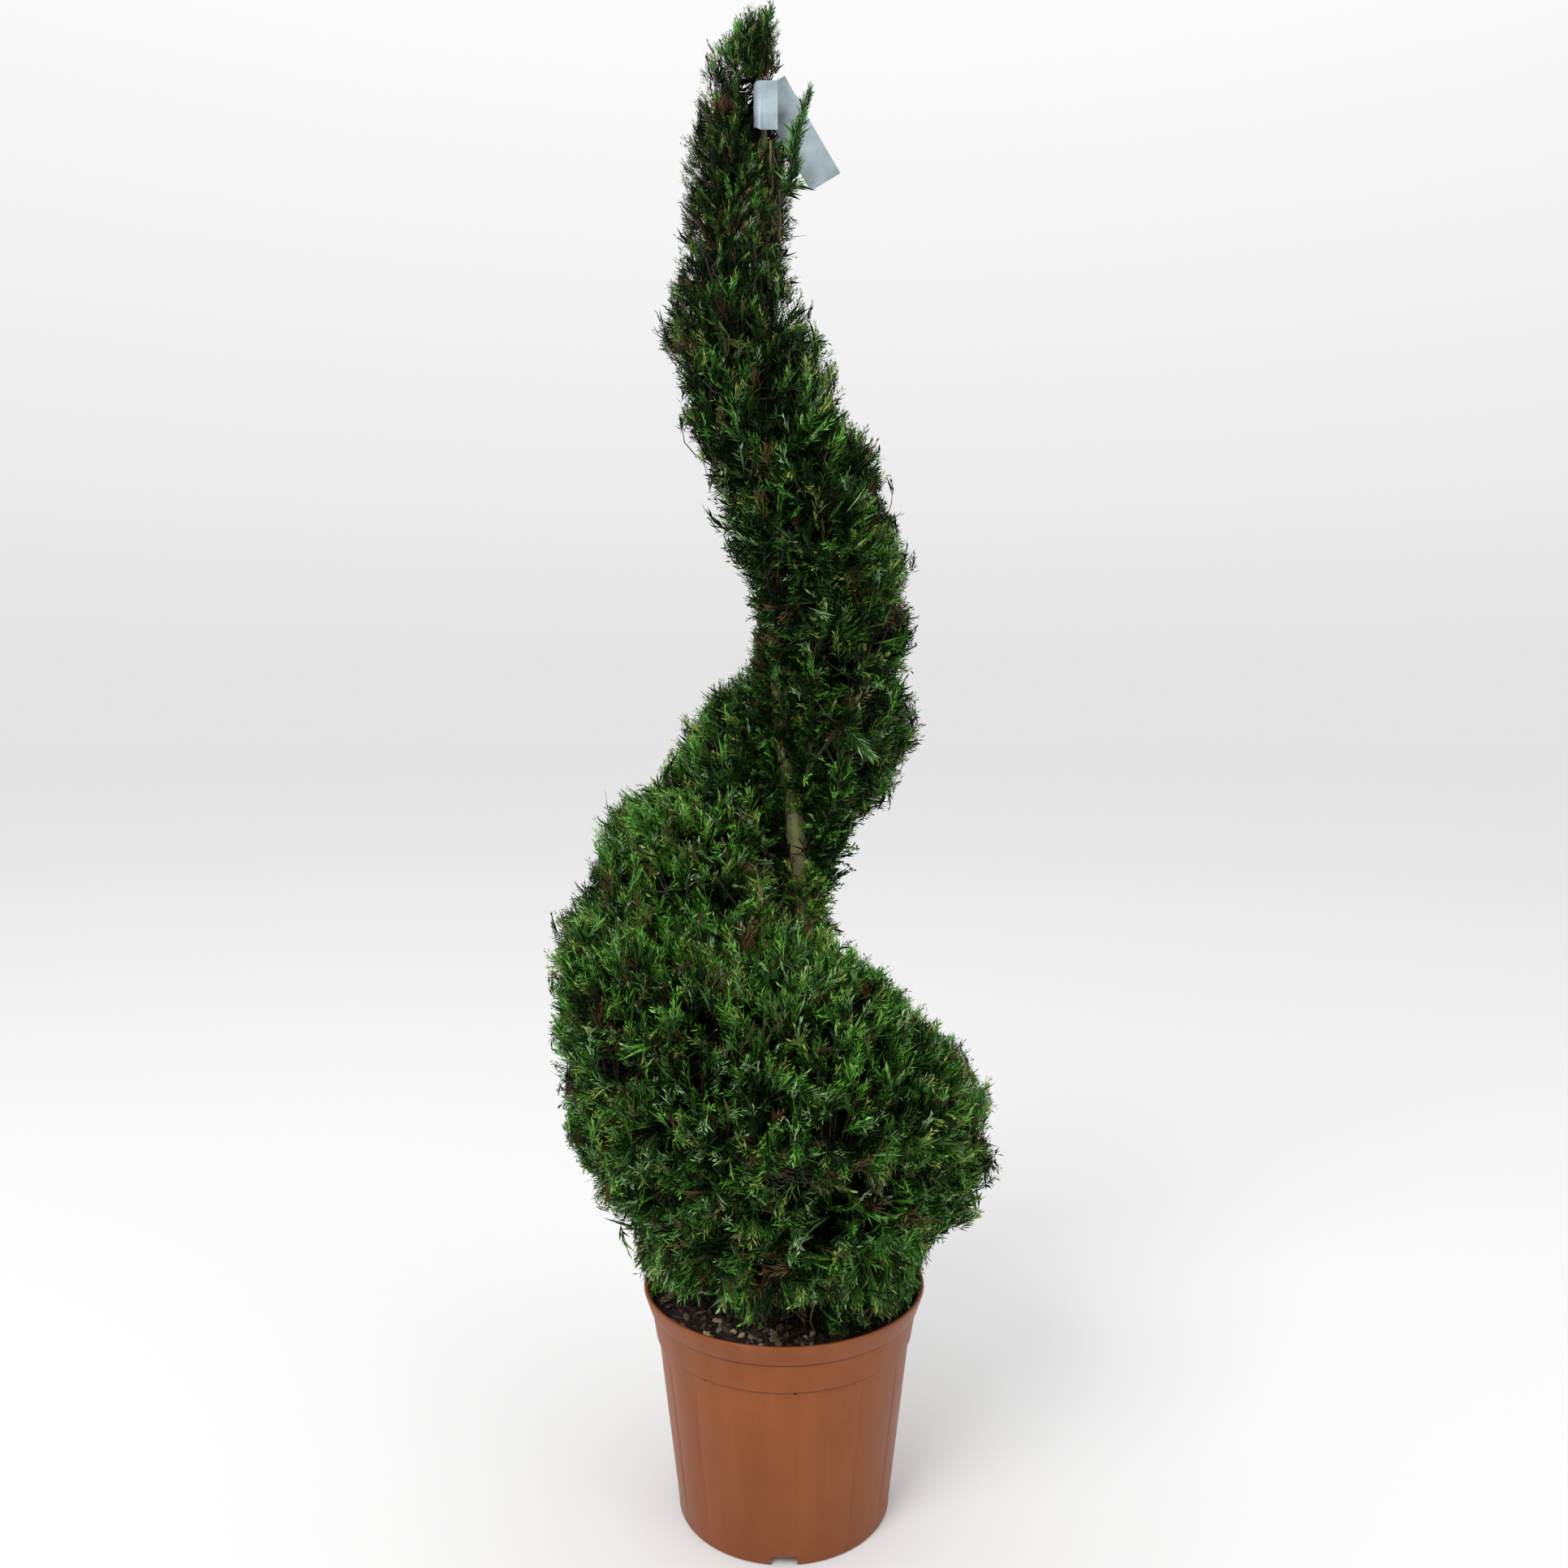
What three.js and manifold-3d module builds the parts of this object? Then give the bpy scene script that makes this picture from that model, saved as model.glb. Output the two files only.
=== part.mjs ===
// A conifer clipped into a spiral, growing in a round terracotta-coloured nursery pot.
// The trunk stands in the compost and runs up to the tip. The foliage is one ramp that climbs round it,
// clockwise as seen from above, with a groove between its turns that lays the trunk bare.
// Millimetres, +Z up, +X to the right and -Y to the front. The origin is the middle of the pot's underside.
import * as THREE from 'three';
import { ConvexGeometry } from 'three/addons/geometries/ConvexGeometry.js';
import { mergeVertices } from 'three/addons/utils/BufferGeometryUtils.js';
import Module from 'manifold-3d';

const wasm = await Module();
wasm.setup();

// Driving dimensions
const totalHeight = 1483;
const potHeight = 230;
const rimRadius = 142;
const baseRadius = 105.5;
const compostTop = 215;
const clearance = 0.3; // between pieces that touch
const sliver = 0.004; // corners nearer than this to each other are one
const seed = 20417;

const pot = {
  segments: 40,
  wall: 3,
  corner: 1.3, // the rounded edge round the foot
  bodyRadius: 107.2,
  bodyFoot: 9,
  bodyTop: 179, // where the lower collar band begins
  bodyTopRadius: 127,
  collarStep: 2.2,
  lipBottom: 208, // where the lip begins above the lower collar band
  lipStep: 1.8,
  footWidth: 12,
  underside: 9, // the floor's underside is this far above the ground
  floor: 3.5,
  bossRadius: 22, // the pad under the middle of the floor, level with the foot
  notches: 4,
  notchWidth: 25,
  notchHeight: 8.7,
  drains: 6,
  drainRadius: 6,
  drainCircle: 58,
};

// The trunk's centreline as [height, sideways, back], and its thickness
const trunkLine = [
  [compostTop, 12, 0],
  [400, 20, -4],
  [600, 18, -2],
  [700, 10, 0],
  [785, -2, 0],
  [1000, -12, -2],
  [1330, -18, 0],
  [1445, -25, 0],
];
const trunk = {
  top: 1445,
  tipRadius: 2,
  footRadius: 15.5,
  flare: 9,
  flareHeight: 22,
  sides: 10,
  rings: 20,
};

// The clipped shape: the axis that it is measured from, sideways only, and its radius, both by height
const shapeAxis = [
  [compostTop, 9],
  [316, 12],
  [365, 0],
  [430, -8],
  [620, 2],
  [750, 4],
  [865, -7],
  [1000, -12],
  [1330, -18],
  [1440, -31],
  [1463, -27],
  [totalHeight, -15],
];
const shapeRadius = [
  [compostTop, 96],
  [241, 137],
  [316, 196],
  [365, 213],
  [450, 246],
  [560, 232],
  [640, 224],
  [700, 210],
  [760, 192],
  [810, 163],
  [860, 146],
  [1040, 140],
  [1120, 114],
  [1200, 106],
  [1250, 89],
  [1330, 80],
  [1414, 55],
  [1440, 27],
  [1463, 19],
  [totalHeight, 6],
];
// The heading in degrees that the ramp faces at each height: -90 is the front, and each turn is -360
const shapeFacing = [
  [compostTop, 30],
  [440, -91],
  [590, -178],
  [750, -268],
  [905, -358],
  [1060, -446],
  [1220, -534],
  [1380, -585],
  [totalHeight, -600],
];
// How fast the ramp falls off to its sides: a low power is broad
const shapePower = [
  [440, 0.25],
  [570, 0.33],
  [635, 1.3],
  [700, 0.9],
  [760, 0.7],
  [950, 0.6],
  [1050, 0.75],
  [1150, 0.5],
  [1250, 0.7],
  [totalHeight, 0.5],
];
// The foliage goes the whole way round at its foot and at its tip, and is the ramp alone between them
const round = { foot: 385, footEnd: 450, tip: 1405, tipFull: 1435 };
const lumps = { depth: 4.5, round: 5, length: 150 }; // shallow swellings of the clipped face

// The foliage stands in masses between cuts. A cut is a cone round the pot's axis that rises outwards.
const massCuts = [226, 306, 398, 500, 612, 742, 884, 1034, 1176, 1284, 1371, totalHeight];
const massNames = [
  'foliage_01_skirt',
  'foliage_02_front',
  'foliage_03_front_left',
  'foliage_04_left',
  'foliage_05_back',
  'foliage_06_right',
  'foliage_07_right_front',
  'foliage_08_front_left',
  'foliage_09_left',
  'foliage_10_back_left',
  'foliage_11_tip',
];
const cutRise = {
  slope: 0.7,
  over: 400, // the slope grows to its full value over this height above the compost
  sides: 30,
  reach: 280,
};
const core = {
  inset: 14, // from the tips of the sprays to the dense inside
  least: 0.45, // of the outline, where it is slender
  sides: 20,
  rowHeight: 40,
  trunkGap: 2.5,
  thinnest: 1.2,
};
const spray = {
  spacing: 60, // between neighbouring sprays on the core
  row: 20, // the height of a row of them
  length: 39,
  width: 13, // from the midrib to the tip of a side tooth
  thickness: 1.2,
  sunk: 11,
  rise: 0.5, // how far a spray turns up from the face that it stands on
  droopUnder: 250, // sprays under this height hang over the rim
  droop: -0.9,
  margin: 1.8, // to the space of the next mass
};

// Limbs that cross the groove from the trunk into the ramp. Angles are in degrees round from the right,
// and the rise is over the horizontal.
const boughThickness = 0.34; // of the trunk's where it leaves
const boughs = [
  { name: 'bough_01_right', height: 646, angle: -25, rise: 52, reach: 120 },
  { name: 'bough_02_front', height: 688, angle: -60, rise: 64, reach: 170 },
  { name: 'bough_03_front', height: 742, angle: -100, rise: 72, reach: 150 },
  { name: 'bough_04_back_left', height: 842, angle: 150, rise: 55, reach: 130 },
  { name: 'bough_05_left', height: 905, angle: 186, rise: 60, reach: 130 },
  { name: 'bough_06_back', height: 1040, angle: 98, rise: 58, reach: 120 },
];
// The leading shoots at the top, as [sideways, height] of their tips
const leaders = [
  [-13, totalHeight],
  [-43, 1464],
  [-55, 1442],
];
const sideShoot = {
  name: 'foliage_12_side_shoot',
  line: [[0, 0, 1276], [6, -22, 1306], [12, -31, 1346], [24, -36, 1382]], // the first is on the trunk
  radius: 1.9,
  sprays: 14,
};

// The blank plastic label: a strip bent round the leader, with its tail hanging to the right
const label = {
  top: 1404.5,
  faceHeight: 46,
  faceLeft: -29,
  faceRight: -6,
  depth: 19, // front to back of the bend
  thickness: 0.8,
  gap: 1.7, // to the foliage
  tailWidth: 33.5,
  tailLength: 110,
  tailEnd: [40.5, 1318], // the middle of its lower edge
  tailFall: 59.5, // degrees under the horizontal
};

function randomFrom(start) {
  let state = start >>> 0;
  return () => {
    state = (Math.imul(state, 1664525) + 1013904223) >>> 0;
    return state / 4294967296;
  };
}

const radians = THREE.MathUtils.degToRad;

function smooth(x) {
  const s = THREE.MathUtils.clamp(x, 0, 1);
  return s * s * (3 - 2 * s);
}

// A smooth curve through rows that start with a height, with no overshoot between them
function along(rows, z, column = 1) {
  const last = rows.length - 1;
  if (z <= rows[0][0]) return rows[0][column];
  if (z >= rows[last][0]) return rows[last][column];
  const i = rows.findIndex((row) => row[0] > z) - 1;
  const slope = (k) => (rows[k + 1][column] - rows[k][column]) / (rows[k + 1][0] - rows[k][0]);
  const tangent = (k) => {
    if (k === 0) return slope(0);
    if (k === last) return slope(last - 1);
    const before = slope(k - 1);
    const after = slope(k);
    return before * after <= 0 ? 0 : (2 * before * after) / (before + after);
  };
  const span = rows[i + 1][0] - rows[i][0];
  const s = (z - rows[i][0]) / span;
  const bend = (1 - s) * tangent(i) - s * tangent(i + 1);
  return THREE.MathUtils.lerp(rows[i][column], rows[i + 1][column], smooth(s)) + span * s * (1 - s) * bend;
}

function trunkCentre(z) {
  return new THREE.Vector3(along(trunkLine, z, 1), along(trunkLine, z, 2), z);
}

function trunkRadius(z) {
  const up = (z - compostTop) / (trunk.top - compostTop);
  const flare = trunk.flare * Math.exp(-(z - compostTop) / trunk.flareHeight);
  return trunk.tipRadius + (trunk.footRadius - trunk.tipRadius) * (1 - up) + flare;
}

// The clipped outline's distance from the shape's axis at a heading and a height
function outline(angle, z) {
  const facing = radians(along(shapeFacing, z));
  const ramp = Math.pow((1 + Math.cos(angle - facing)) / 2, along(shapePower, z));
  const foot = 1 - smooth((z - round.foot) / (round.footEnd - round.foot));
  const tip = smooth((z - round.tip) / (round.tipFull - round.tip));
  const share = ramp + (1 - ramp) * Math.max(foot, tip);
  const turn = (2 * Math.PI * z) / lumps.length;
  const lump = Math.sin(lumps.round * angle + turn) * Math.sin(1.3 * turn);
  return (along(shapeRadius, z) + lumps.depth * lump) * share;
}

// The core's face lies behind the outline
function coreEdge(angle, z) {
  const r = outline(angle, z);
  return Math.max(core.thinnest, r - core.inset, r * core.least);
}

function pointAt(angle, z, r) {
  return new THREE.Vector3(along(shapeAxis, z) + r * Math.cos(angle), r * Math.sin(angle), z);
}

// The way out of the clipped face, from small steps along it
function wayOut(angle, z) {
  const step = 0.02;
  const rise = 2;
  const at = (a, h) => pointAt(a, h, outline(a, h));
  const level = at(angle + step, z).sub(at(angle - step, z));
  const up = at(angle, z + rise).sub(at(angle, z - rise));
  return level.cross(up).normalize();
}

const cutSlope = (cut) => cutRise.slope * THREE.MathUtils.clamp((cut - compostTop) / cutRise.over, 0, 1);

// The cut that a point lies on, named by its height on the pot's axis
function cutThrough({ x, y, z }) {
  const r = Math.hypot(x, y);
  let cut = z;
  for (let n = 0; n < 12; n++) cut += 0.6 * (z - cutSlope(cut) * r - cut);
  return cut;
}

function solid(geometry) {
  geometry.deleteAttribute('normal');
  geometry.deleteAttribute('uv');
  const merged = mergeVertices(geometry, 1e-4);
  return new wasm.Manifold(new wasm.Mesh({
    numProp: 3,
    vertProperties: new Float32Array(merged.attributes.position.array),
    triVerts: new Uint32Array(merged.index.array),
  }));
}

function solidFrom(points, faces) {
  const geometry = new THREE.BufferGeometry().setFromPoints(points);
  geometry.setIndex(faces);
  return solid(geometry);
}

// A shape's mesh, without the slivers that cutting leaves
function geometryOf(shape) {
  const mesh = shape.getMesh();
  const raw = new THREE.BufferGeometry();
  raw.setAttribute('position', new THREE.Float32BufferAttribute(mesh.vertProperties, 3));
  raw.setIndex(new THREE.BufferAttribute(mesh.triVerts, 1));
  const geometry = mergeVertices(raw, sliver);
  const index = Array.from(geometry.index.array);
  const whole = (k) => new Set(index.slice(k, k + 3)).size === 3;
  geometry.setIndex(index.filter((_, k) => whole(k - (k % 3))));
  return geometry;
}

// The largest body of a shape that cutting may have left in several
function largest(shape) {
  return shape.decompose().reduce((a, b) => (a.volume() > b.volume() ? a : b));
}

// Rings of points joined in order, and closed at each end on a middle point
function loft(rings, first, last) {
  const sides = rings[0].length;
  const points = [...rings.flat(), first, last];
  const faces = [];
  const top = (rings.length - 1) * sides;
  for (let i = 0; i < sides; i++) {
    const j = (i + 1) % sides;
    for (let a = 0; a < top; a += sides) {
      faces.push(a + i, a + j, a + j + sides, a + i, a + j + sides, a + i + sides);
    }
    faces.push(points.length - 2, j, i, points.length - 1, top + i, top + j);
  }
  return solidFrom(points, faces);
}

// A tapering limb along a line of points
function limb(points, radii, sides) {
  const last = points.length - 1;
  const rings = points.map((p, k) => {
    const heading = points[Math.min(last, k + 1)].clone().sub(points[Math.max(0, k - 1)]).normalize();
    const out = new THREE.Vector3(1, 0, 0).addScaledVector(heading, -heading.x);
    if (out.length() < 0.3) out.set(0, 1, 0).addScaledVector(heading, -heading.y);
    out.normalize();
    const side = heading.clone().cross(out);
    return Array.from({ length: sides }, (_, i) => {
      const turn = (2 * Math.PI * i) / sides;
      const edge = p.clone().addScaledVector(out, radii[k] * Math.cos(turn));
      return edge.addScaledVector(side, radii[k] * Math.sin(turn));
    });
  });
  return loft(rings, points[0], points[last]);
}

// The trunk, or the space round it where extra is its clearance
function trunkSolid(extra, from = compostTop + clearance, to = trunk.top) {
  const corners = 1 / Math.cos(Math.PI / trunk.sides); // a many-sided ring stays outside the round one
  const rings = Array.from({ length: trunk.rings + 1 }, (_, k) => {
    const z = from + (to - from) * Math.pow(k / trunk.rings, 1.25); // closer rings at the root flare
    const r = trunkRadius(z) * (extra ? corners : 1) + extra;
    return Array.from({ length: trunk.sides }, (_, i) => {
      const turn = (2 * Math.PI * i) / trunk.sides;
      return trunkCentre(z).add(new THREE.Vector3(r * Math.cos(turn), r * Math.sin(turn), 0));
    });
  });
  return loft(rings, trunkCentre(from), trunkCentre(to));
}

function lathe(profile, segments) {
  const geometry = new THREE.LatheGeometry(profile.map(([r, z]) => new THREE.Vector2(r, z)), segments);
  geometry.rotateX(Math.PI / 2);
  return solid(geometry);
}

// The radius of the pot's inside at a height
function potInside(z) {
  const rows = [[pot.bodyFoot, pot.bodyRadius], [pot.bodyTop, pot.bodyTopRadius], [potHeight, rimRadius - 1]];
  const k = z < pot.bodyTop ? 0 : 1;
  const share = (z - rows[k][0]) / (rows[k + 1][0] - rows[k][0]);
  return THREE.MathUtils.lerp(rows[k][1], rows[k + 1][1], share) - pot.wall;
}

function makePot() {
  const floorTop = pot.underside + pot.floor;
  const inFoot = baseRadius - pot.footWidth;
  const collar = pot.bodyTopRadius + pot.collarStep;
  const collarTop = collar + (rimRadius - collar) * 0.35;
  let made = lathe([
    [0, 0],
    [pot.bossRadius, 0],
    [pot.bossRadius + 3, pot.underside],
    [inFoot - 2, pot.underside],
    [inFoot, 0],
    [baseRadius, 0],
    [baseRadius + pot.corner, pot.corner],
    [pot.bodyRadius, pot.bodyFoot],
    [pot.bodyTopRadius, pot.bodyTop],
    [collar, pot.bodyTop + 1],
    [collarTop, pot.lipBottom],
    [collarTop + pot.lipStep, pot.lipBottom + 1],
    [rimRadius, potHeight - 2],
    [rimRadius - 1.5, potHeight],
    [potInside(potHeight), potHeight - 1],
    [potInside(pot.bodyTop), pot.bodyTop],
    [potInside(floorTop + 6), floorTop + 6],
    [potInside(floorTop) - 6, floorTop],
    [0, floorTop],
  ], pot.segments);
  for (let n = 0; n < pot.notches; n++) {
    const notch = new THREE.BoxGeometry(3 * pot.footWidth, pot.notchWidth, 2 * pot.notchHeight);
    notch.translate(baseRadius, 0, 0);
    notch.rotateZ((2 * Math.PI * n) / pot.notches - Math.PI / 2);
    made = made.subtract(solid(notch));
  }
  for (let n = 0; n < pot.drains; n++) {
    const drain = new THREE.CylinderGeometry(pot.drainRadius, pot.drainRadius, 4 * pot.floor, 10);
    drain.rotateX(Math.PI / 2);
    drain.translate(pot.drainCircle, 0, pot.underside + pot.floor / 2);
    drain.rotateZ((2 * Math.PI * (n + 0.5)) / pot.drains);
    made = made.subtract(solid(drain));
  }
  return made;
}

function makeCompost() {
  const floorTop = pot.underside + pot.floor + clearance;
  const edge = compostTop - 4; // it sinks towards the wall
  const inside = 0.8; // clear of the flats of the many-sided wall
  return lathe([
    [0, floorTop],
    [potInside(floorTop) - 7, floorTop],
    [potInside(floorTop + 7) - inside, floorTop + 7],
    [potInside(pot.bodyTop) - inside, pot.bodyTop],
    [potInside(edge) - inside, edge],
    [0.55 * rimRadius, compostTop],
    [0, compostTop],
  ], 24);
}

function boughLine(bough) {
  const angle = radians(bough.angle);
  const steps = 5;
  return Array.from({ length: steps + 1 }, (_, k) => {
    const far = (bough.reach * k) / steps;
    const rise = radians(bough.rise) + (0.25 * k) / steps; // it turns up towards its tip
    const level = far * Math.cos(rise);
    const step = new THREE.Vector3(level * Math.cos(angle), level * Math.sin(angle), far * Math.sin(rise));
    return trunkCentre(bough.height).add(step);
  });
}

const boughRadius = (bough) => trunkRadius(bough.height) * boughThickness;

// A bough from the bark to where it enters a mass: the lowest piece that the cuts leave of it
function makeBough(bough, trunkSpace, massSpace) {
  const line = boughLine(bough);
  const radii = line.map((_, k) => boughRadius(bough) * (1.15 - (0.6 * k) / (line.length - 1)));
  const pieces = limb(line, radii, 6).subtract(trunkSpace).subtract(massSpace).decompose();
  return pieces.reduce((a, b) => (a.boundingBox().min[2] < b.boundingBox().min[2] ? a : b));
}

// A flat spray as a toothed blade, thin at its edge and thicker along its midrib
function sprayPoints(root, heading, flat, length, width) {
  const across = heading.clone().cross(flat).normalize();
  const at = (u, v, w) => {
    const point = root.clone().addScaledVector(heading, u * length);
    return point.addScaledVector(across, v * width).addScaledVector(flat, w);
  };
  const edge = [[0, 0], [0.62, 1], [0.66, 0.34], [1, 0], [0.66, -0.34], [0.62, -1]];
  const rib = sprayMiddle(length);
  return [...edge.map(([u, v]) => at(u, v, 0)), at(0.5, 0, rib), at(0.5, 0, -rib)];
}

const sprayMiddle = (length) => (spray.thickness * length) / spray.length;

function spraySolid(points) {
  const rim = points.length - 2;
  const faces = [];
  for (let i = 0; i < rim; i++) {
    const j = (i + 1) % rim;
    faces.push(rim, i, j, rim + 1, j, i);
  }
  return solidFrom(points, faces);
}

// The dense inside of all the foliage in one piece
function wholeCore() {
  const from = massCuts[0];
  const to = totalHeight - core.inset;
  const rows = Math.round((to - from) / core.rowHeight);
  const rings = Array.from({ length: rows + 1 }, (_, k) => {
    const z = from + ((to - from) * k) / rows;
    return Array.from({ length: core.sides }, (_, i) => {
      const angle = (2 * Math.PI * i) / core.sides;
      return pointAt(angle, z, coreEdge(angle, z));
    });
  });
  return loft(rings, pointAt(0, from, 0), pointAt(0, to, 0));
}

// The space between two neighbouring cuts
function massSpace(index) {
  const last = index === massNames.length - 1;
  const low = massCuts[index] + (index ? clearance : 0);
  const high = massCuts[index + 1] + (last ? core.inset : -clearance);
  const edge = (cut) => [cutRise.reach, cut + cutSlope(cut) * cutRise.reach];
  return lathe([[0, low], edge(low), edge(high), [0, high]], cutRise.sides);
}

function distanceToLine(point, line) {
  const nearest = new THREE.Vector3();
  return Math.min(...line.slice(1).map((end, k) => {
    new THREE.Line3(line[k], end).closestPointToPoint(point, true, nearest);
    return nearest.distanceTo(point);
  }));
}

// Whether a point lies in its mass's space, and clear of the trunk, the pot and the limbs
function inSpace(point, index, limbs) {
  const cut = cutThrough(point);
  const above = index === 0 || cut > massCuts[index] + spray.margin;
  const below = index === massNames.length - 1 || cut < massCuts[index + 1] - spray.margin;
  return above && below && clearOf(point, limbs);
}

function clearOf(point, limbs) {
  const { x, y, z } = point;
  if (z > totalHeight || z < compostTop + 1.5) return false;
  if (z < potHeight + 2 && Math.hypot(x, y) > potInside(compostTop) - 4) return false;
  const beside = trunkCentre(Math.min(z, trunk.top));
  if (point.distanceTo(beside) < trunkRadius(beside.z) + 1.5) return false;
  return limbs.every(({ line, radius }) => distanceToLine(point, line) > radius);
}

// The corners of a spray, and points between them and along its midrib
function feelers(points) {
  const edge = points.slice(0, -2);
  const between = edge.map((p, k) => p.clone().lerp(edge[(k + 1) % edge.length], 0.5));
  return [...edge, ...between, ...points.slice(-2)];
}

// One spray standing out of the core, or null where it would leave its space
function growSpray(angle, z, out, index, limbs, random) {
  const lift = z < spray.droopUnder ? spray.droop : spray.rise + 0.5 * (random() - 0.5);
  const sway = new THREE.Vector3(0.6 * (random() - 0.5), 0.6 * (random() - 0.5), lift);
  const heading = out.clone().add(sway).normalize();
  const root = pointAt(angle, z, coreEdge(angle, z)).addScaledVector(heading, -spray.sunk);
  const turn = new THREE.Vector3(random() - 0.5, random() - 0.5, random() - 0.5);
  const flat = heading.clone().cross(turn).normalize();
  const length = spray.length * (0.85 + 0.35 * random());
  const points = sprayPoints(root, heading, flat, length, spray.width * (0.8 + 0.4 * random()));
  return feelers(points).every((p) => inSpace(p, index, limbs)) ? spraySolid(points) : null;
}

// The stem that carries a mass, from the trunk into its core
function massStem(index) {
  const z = THREE.MathUtils.lerp(massCuts[index], massCuts[index + 1], 0.45);
  const foot = trunkCentre(z);
  const heading = radians(along(shapeFacing, z));
  const tip = pointAt(heading, z, 0.8 * coreEdge(heading, z));
  tip.z += cutSlope(z) * tip.distanceTo(foot);
  const thick = 0.45 * trunkRadius(z);
  return limb([foot, foot.clone().lerp(tip, 0.5), tip], [thick, 0.8 * thick, 0.5 * thick], 6);
}

// The sprays of every mass, spread evenly over the core's face
function growSprays(limbs) {
  const random = randomFrom(seed);
  const grown = massNames.map(() => []);
  for (let z = massCuts[0] + spray.row / 2; z < totalHeight - core.inset; z += spray.row) {
    let angle = 2 * Math.PI * random();
    const end = angle + 2 * Math.PI;
    while (angle < end) {
      const place = z + spray.row * (random() - 0.5);
      const r = coreEdge(angle, place);
      const out = wayOut(angle, place);
      const index = massAt(pointAt(angle, place, r));
      for (let tries = 0; tries < 6 && r > 6; tries++) {
        const made = growSpray(angle, place, out, index, limbs, random);
        if (!made) continue;
        grown[index].push(made);
        break;
      }
      const tilt = Math.max(0.25, Math.hypot(out.x, out.y)); // a flat shelf has more face in a row
      angle += ((spray.spacing ** 2 * tilt) / (spray.row * Math.max(r, 10))) * (0.8 + 0.4 * random());
    }
  }
  grown[grown.length - 1].push(...leaders.map(leaderSpray));
  return grown;
}

function massAt(point) {
  const cut = cutThrough(point);
  return Math.max(0, massCuts.findLastIndex((low, k) => k < massNames.length && low <= cut));
}

// A leading shoot, upright from the top of the core to its tip
function leaderSpray([x, z]) {
  const tip = new THREE.Vector3(x, 0, z);
  const foot = THREE.MathUtils.lerp(along(shapeAxis, z - spray.length), x, 0.35);
  const root = new THREE.Vector3(foot, 0, z - 0.95 * spray.length);
  const heading = tip.clone().sub(root).normalize();
  const flat = new THREE.Vector3(0, 1, 0);
  return spraySolid(sprayPoints(root, heading, flat, tip.distanceTo(root), 0.6 * spray.width));
}

function sideShootCurve() {
  const [foot, ...rest] = sideShoot.line.map((p) => new THREE.Vector3(...p));
  return new THREE.CatmullRomCurve3([trunkCentre(foot.z), ...rest]);
}

// The slim green shoot that stands before the label's tail
function makeSideShoot(keepClear) {
  const random = randomFrom(seed + 1);
  const curve = sideShootCurve();
  const line = curve.getPoints(8);
  const radii = line.map((_, k) => sideShoot.radius * (1.2 - k / 10));
  const parts = [limb(line, radii, 5)];
  for (let n = 0; n < sideShoot.sprays; n++) {
    const s = 0.3 + (0.67 * n) / (sideShoot.sprays - 1);
    const up = curve.getTangent(s);
    const side = up.clone().cross(new THREE.Vector3(0.6 * (random() - 0.5), 1, 0)).normalize();
    const heading = up.clone().addScaledVector(side, (n % 2 ? 0.9 : -0.9) * (1.1 - s)).normalize();
    const flat = heading.clone().cross(up).cross(heading).normalize();
    const face = flat.lengthSq() > 0.5 ? flat.cross(heading).normalize() : side;
    const points = sprayPoints(curve.getPoint(s), heading, face, 17 + 9 * (1 - s), 4.5);
    parts.push(spraySolid(points));
  }
  return largest(wasm.Manifold.union(parts).subtract(keepClear));
}

// The middle line of the label as frames: where, which way is across it, and how wide it is there
function labelFrames() {
  const half = label.depth / 2;
  const face = label.top - label.faceHeight / 2;
  const back = trunkCentre(face).y + trunkRadius(label.top - label.faceHeight) + 1;
  const front = back - label.depth;
  const up = new THREE.Vector3(0, 0, 1);
  const frames = [];
  const add = (x, y, z, across, width) => {
    frames.push({ middle: new THREE.Vector3(x, y, z), across, width });
  };
  add(label.faceRight, front + 1, face, up, label.faceHeight);
  add((label.faceRight + label.faceLeft + half) / 2, front, face, up, label.faceHeight);
  const steps = 6;
  for (let k = 0; k <= steps; k++) {
    const turn = (Math.PI * k) / steps;
    const x = label.faceLeft + half - half * Math.sin(turn);
    const width = THREE.MathUtils.lerp(label.faceHeight, label.tailWidth, k / steps);
    add(x, front + half - half * Math.cos(turn), face + 6 * (k / steps), up, width);
  }
  const fall = radians(label.tailFall);
  const down = new THREE.Vector3(Math.cos(fall), 0, -Math.sin(fall));
  const across = new THREE.Vector3(Math.sin(fall), 0, Math.cos(fall));
  const end = new THREE.Vector3(label.tailEnd[0], back, label.tailEnd[1]);
  for (const share of [0.97, 0.8, 0.4, 0]) {
    const middle = end.clone().addScaledVector(down, -share * label.tailLength);
    middle.y += 2 * Math.sin(Math.PI * share); // it bows back a little
    frames.push({ middle, across, width: label.tailWidth });
  }
  return frames;
}

// Lines over the label's face that the foliage keeps away from
function labelLines(frames) {
  return frames.slice(1).flatMap(({ middle, across, width }, k) => {
    const beside = (place, share) => place.clone().addScaledVector(across, share * width);
    return [-0.45, -0.225, 0, 0.225, 0.45].map((share) => ({
      line: [beside(frames[k].middle, share), beside(middle, share)],
      radius: 6.5,
    }));
  });
}

// The corners of the label's strip at each frame, moved out by extra
function stripRings(frames, extra) {
  const last = frames.length - 1;
  return frames.map(({ middle, across, width }, k) => {
    const heading = frames[Math.min(last, k + 1)].middle.clone().sub(frames[Math.max(0, k - 1)].middle);
    const thin = heading.cross(across).normalize();
    const corner = (u, v) => middle.clone()
      .addScaledVector(across, u * (width / 2 + extra))
      .addScaledVector(thin, v * (label.thickness / 2 + extra));
    return [corner(1, -1), corner(1, 1), corner(-1, 1), corner(-1, -1)];
  });
}

function makeLabel(frames) {
  return loft(stripRings(frames, 0), frames[0].middle, frames[frames.length - 1].middle);
}

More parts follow.
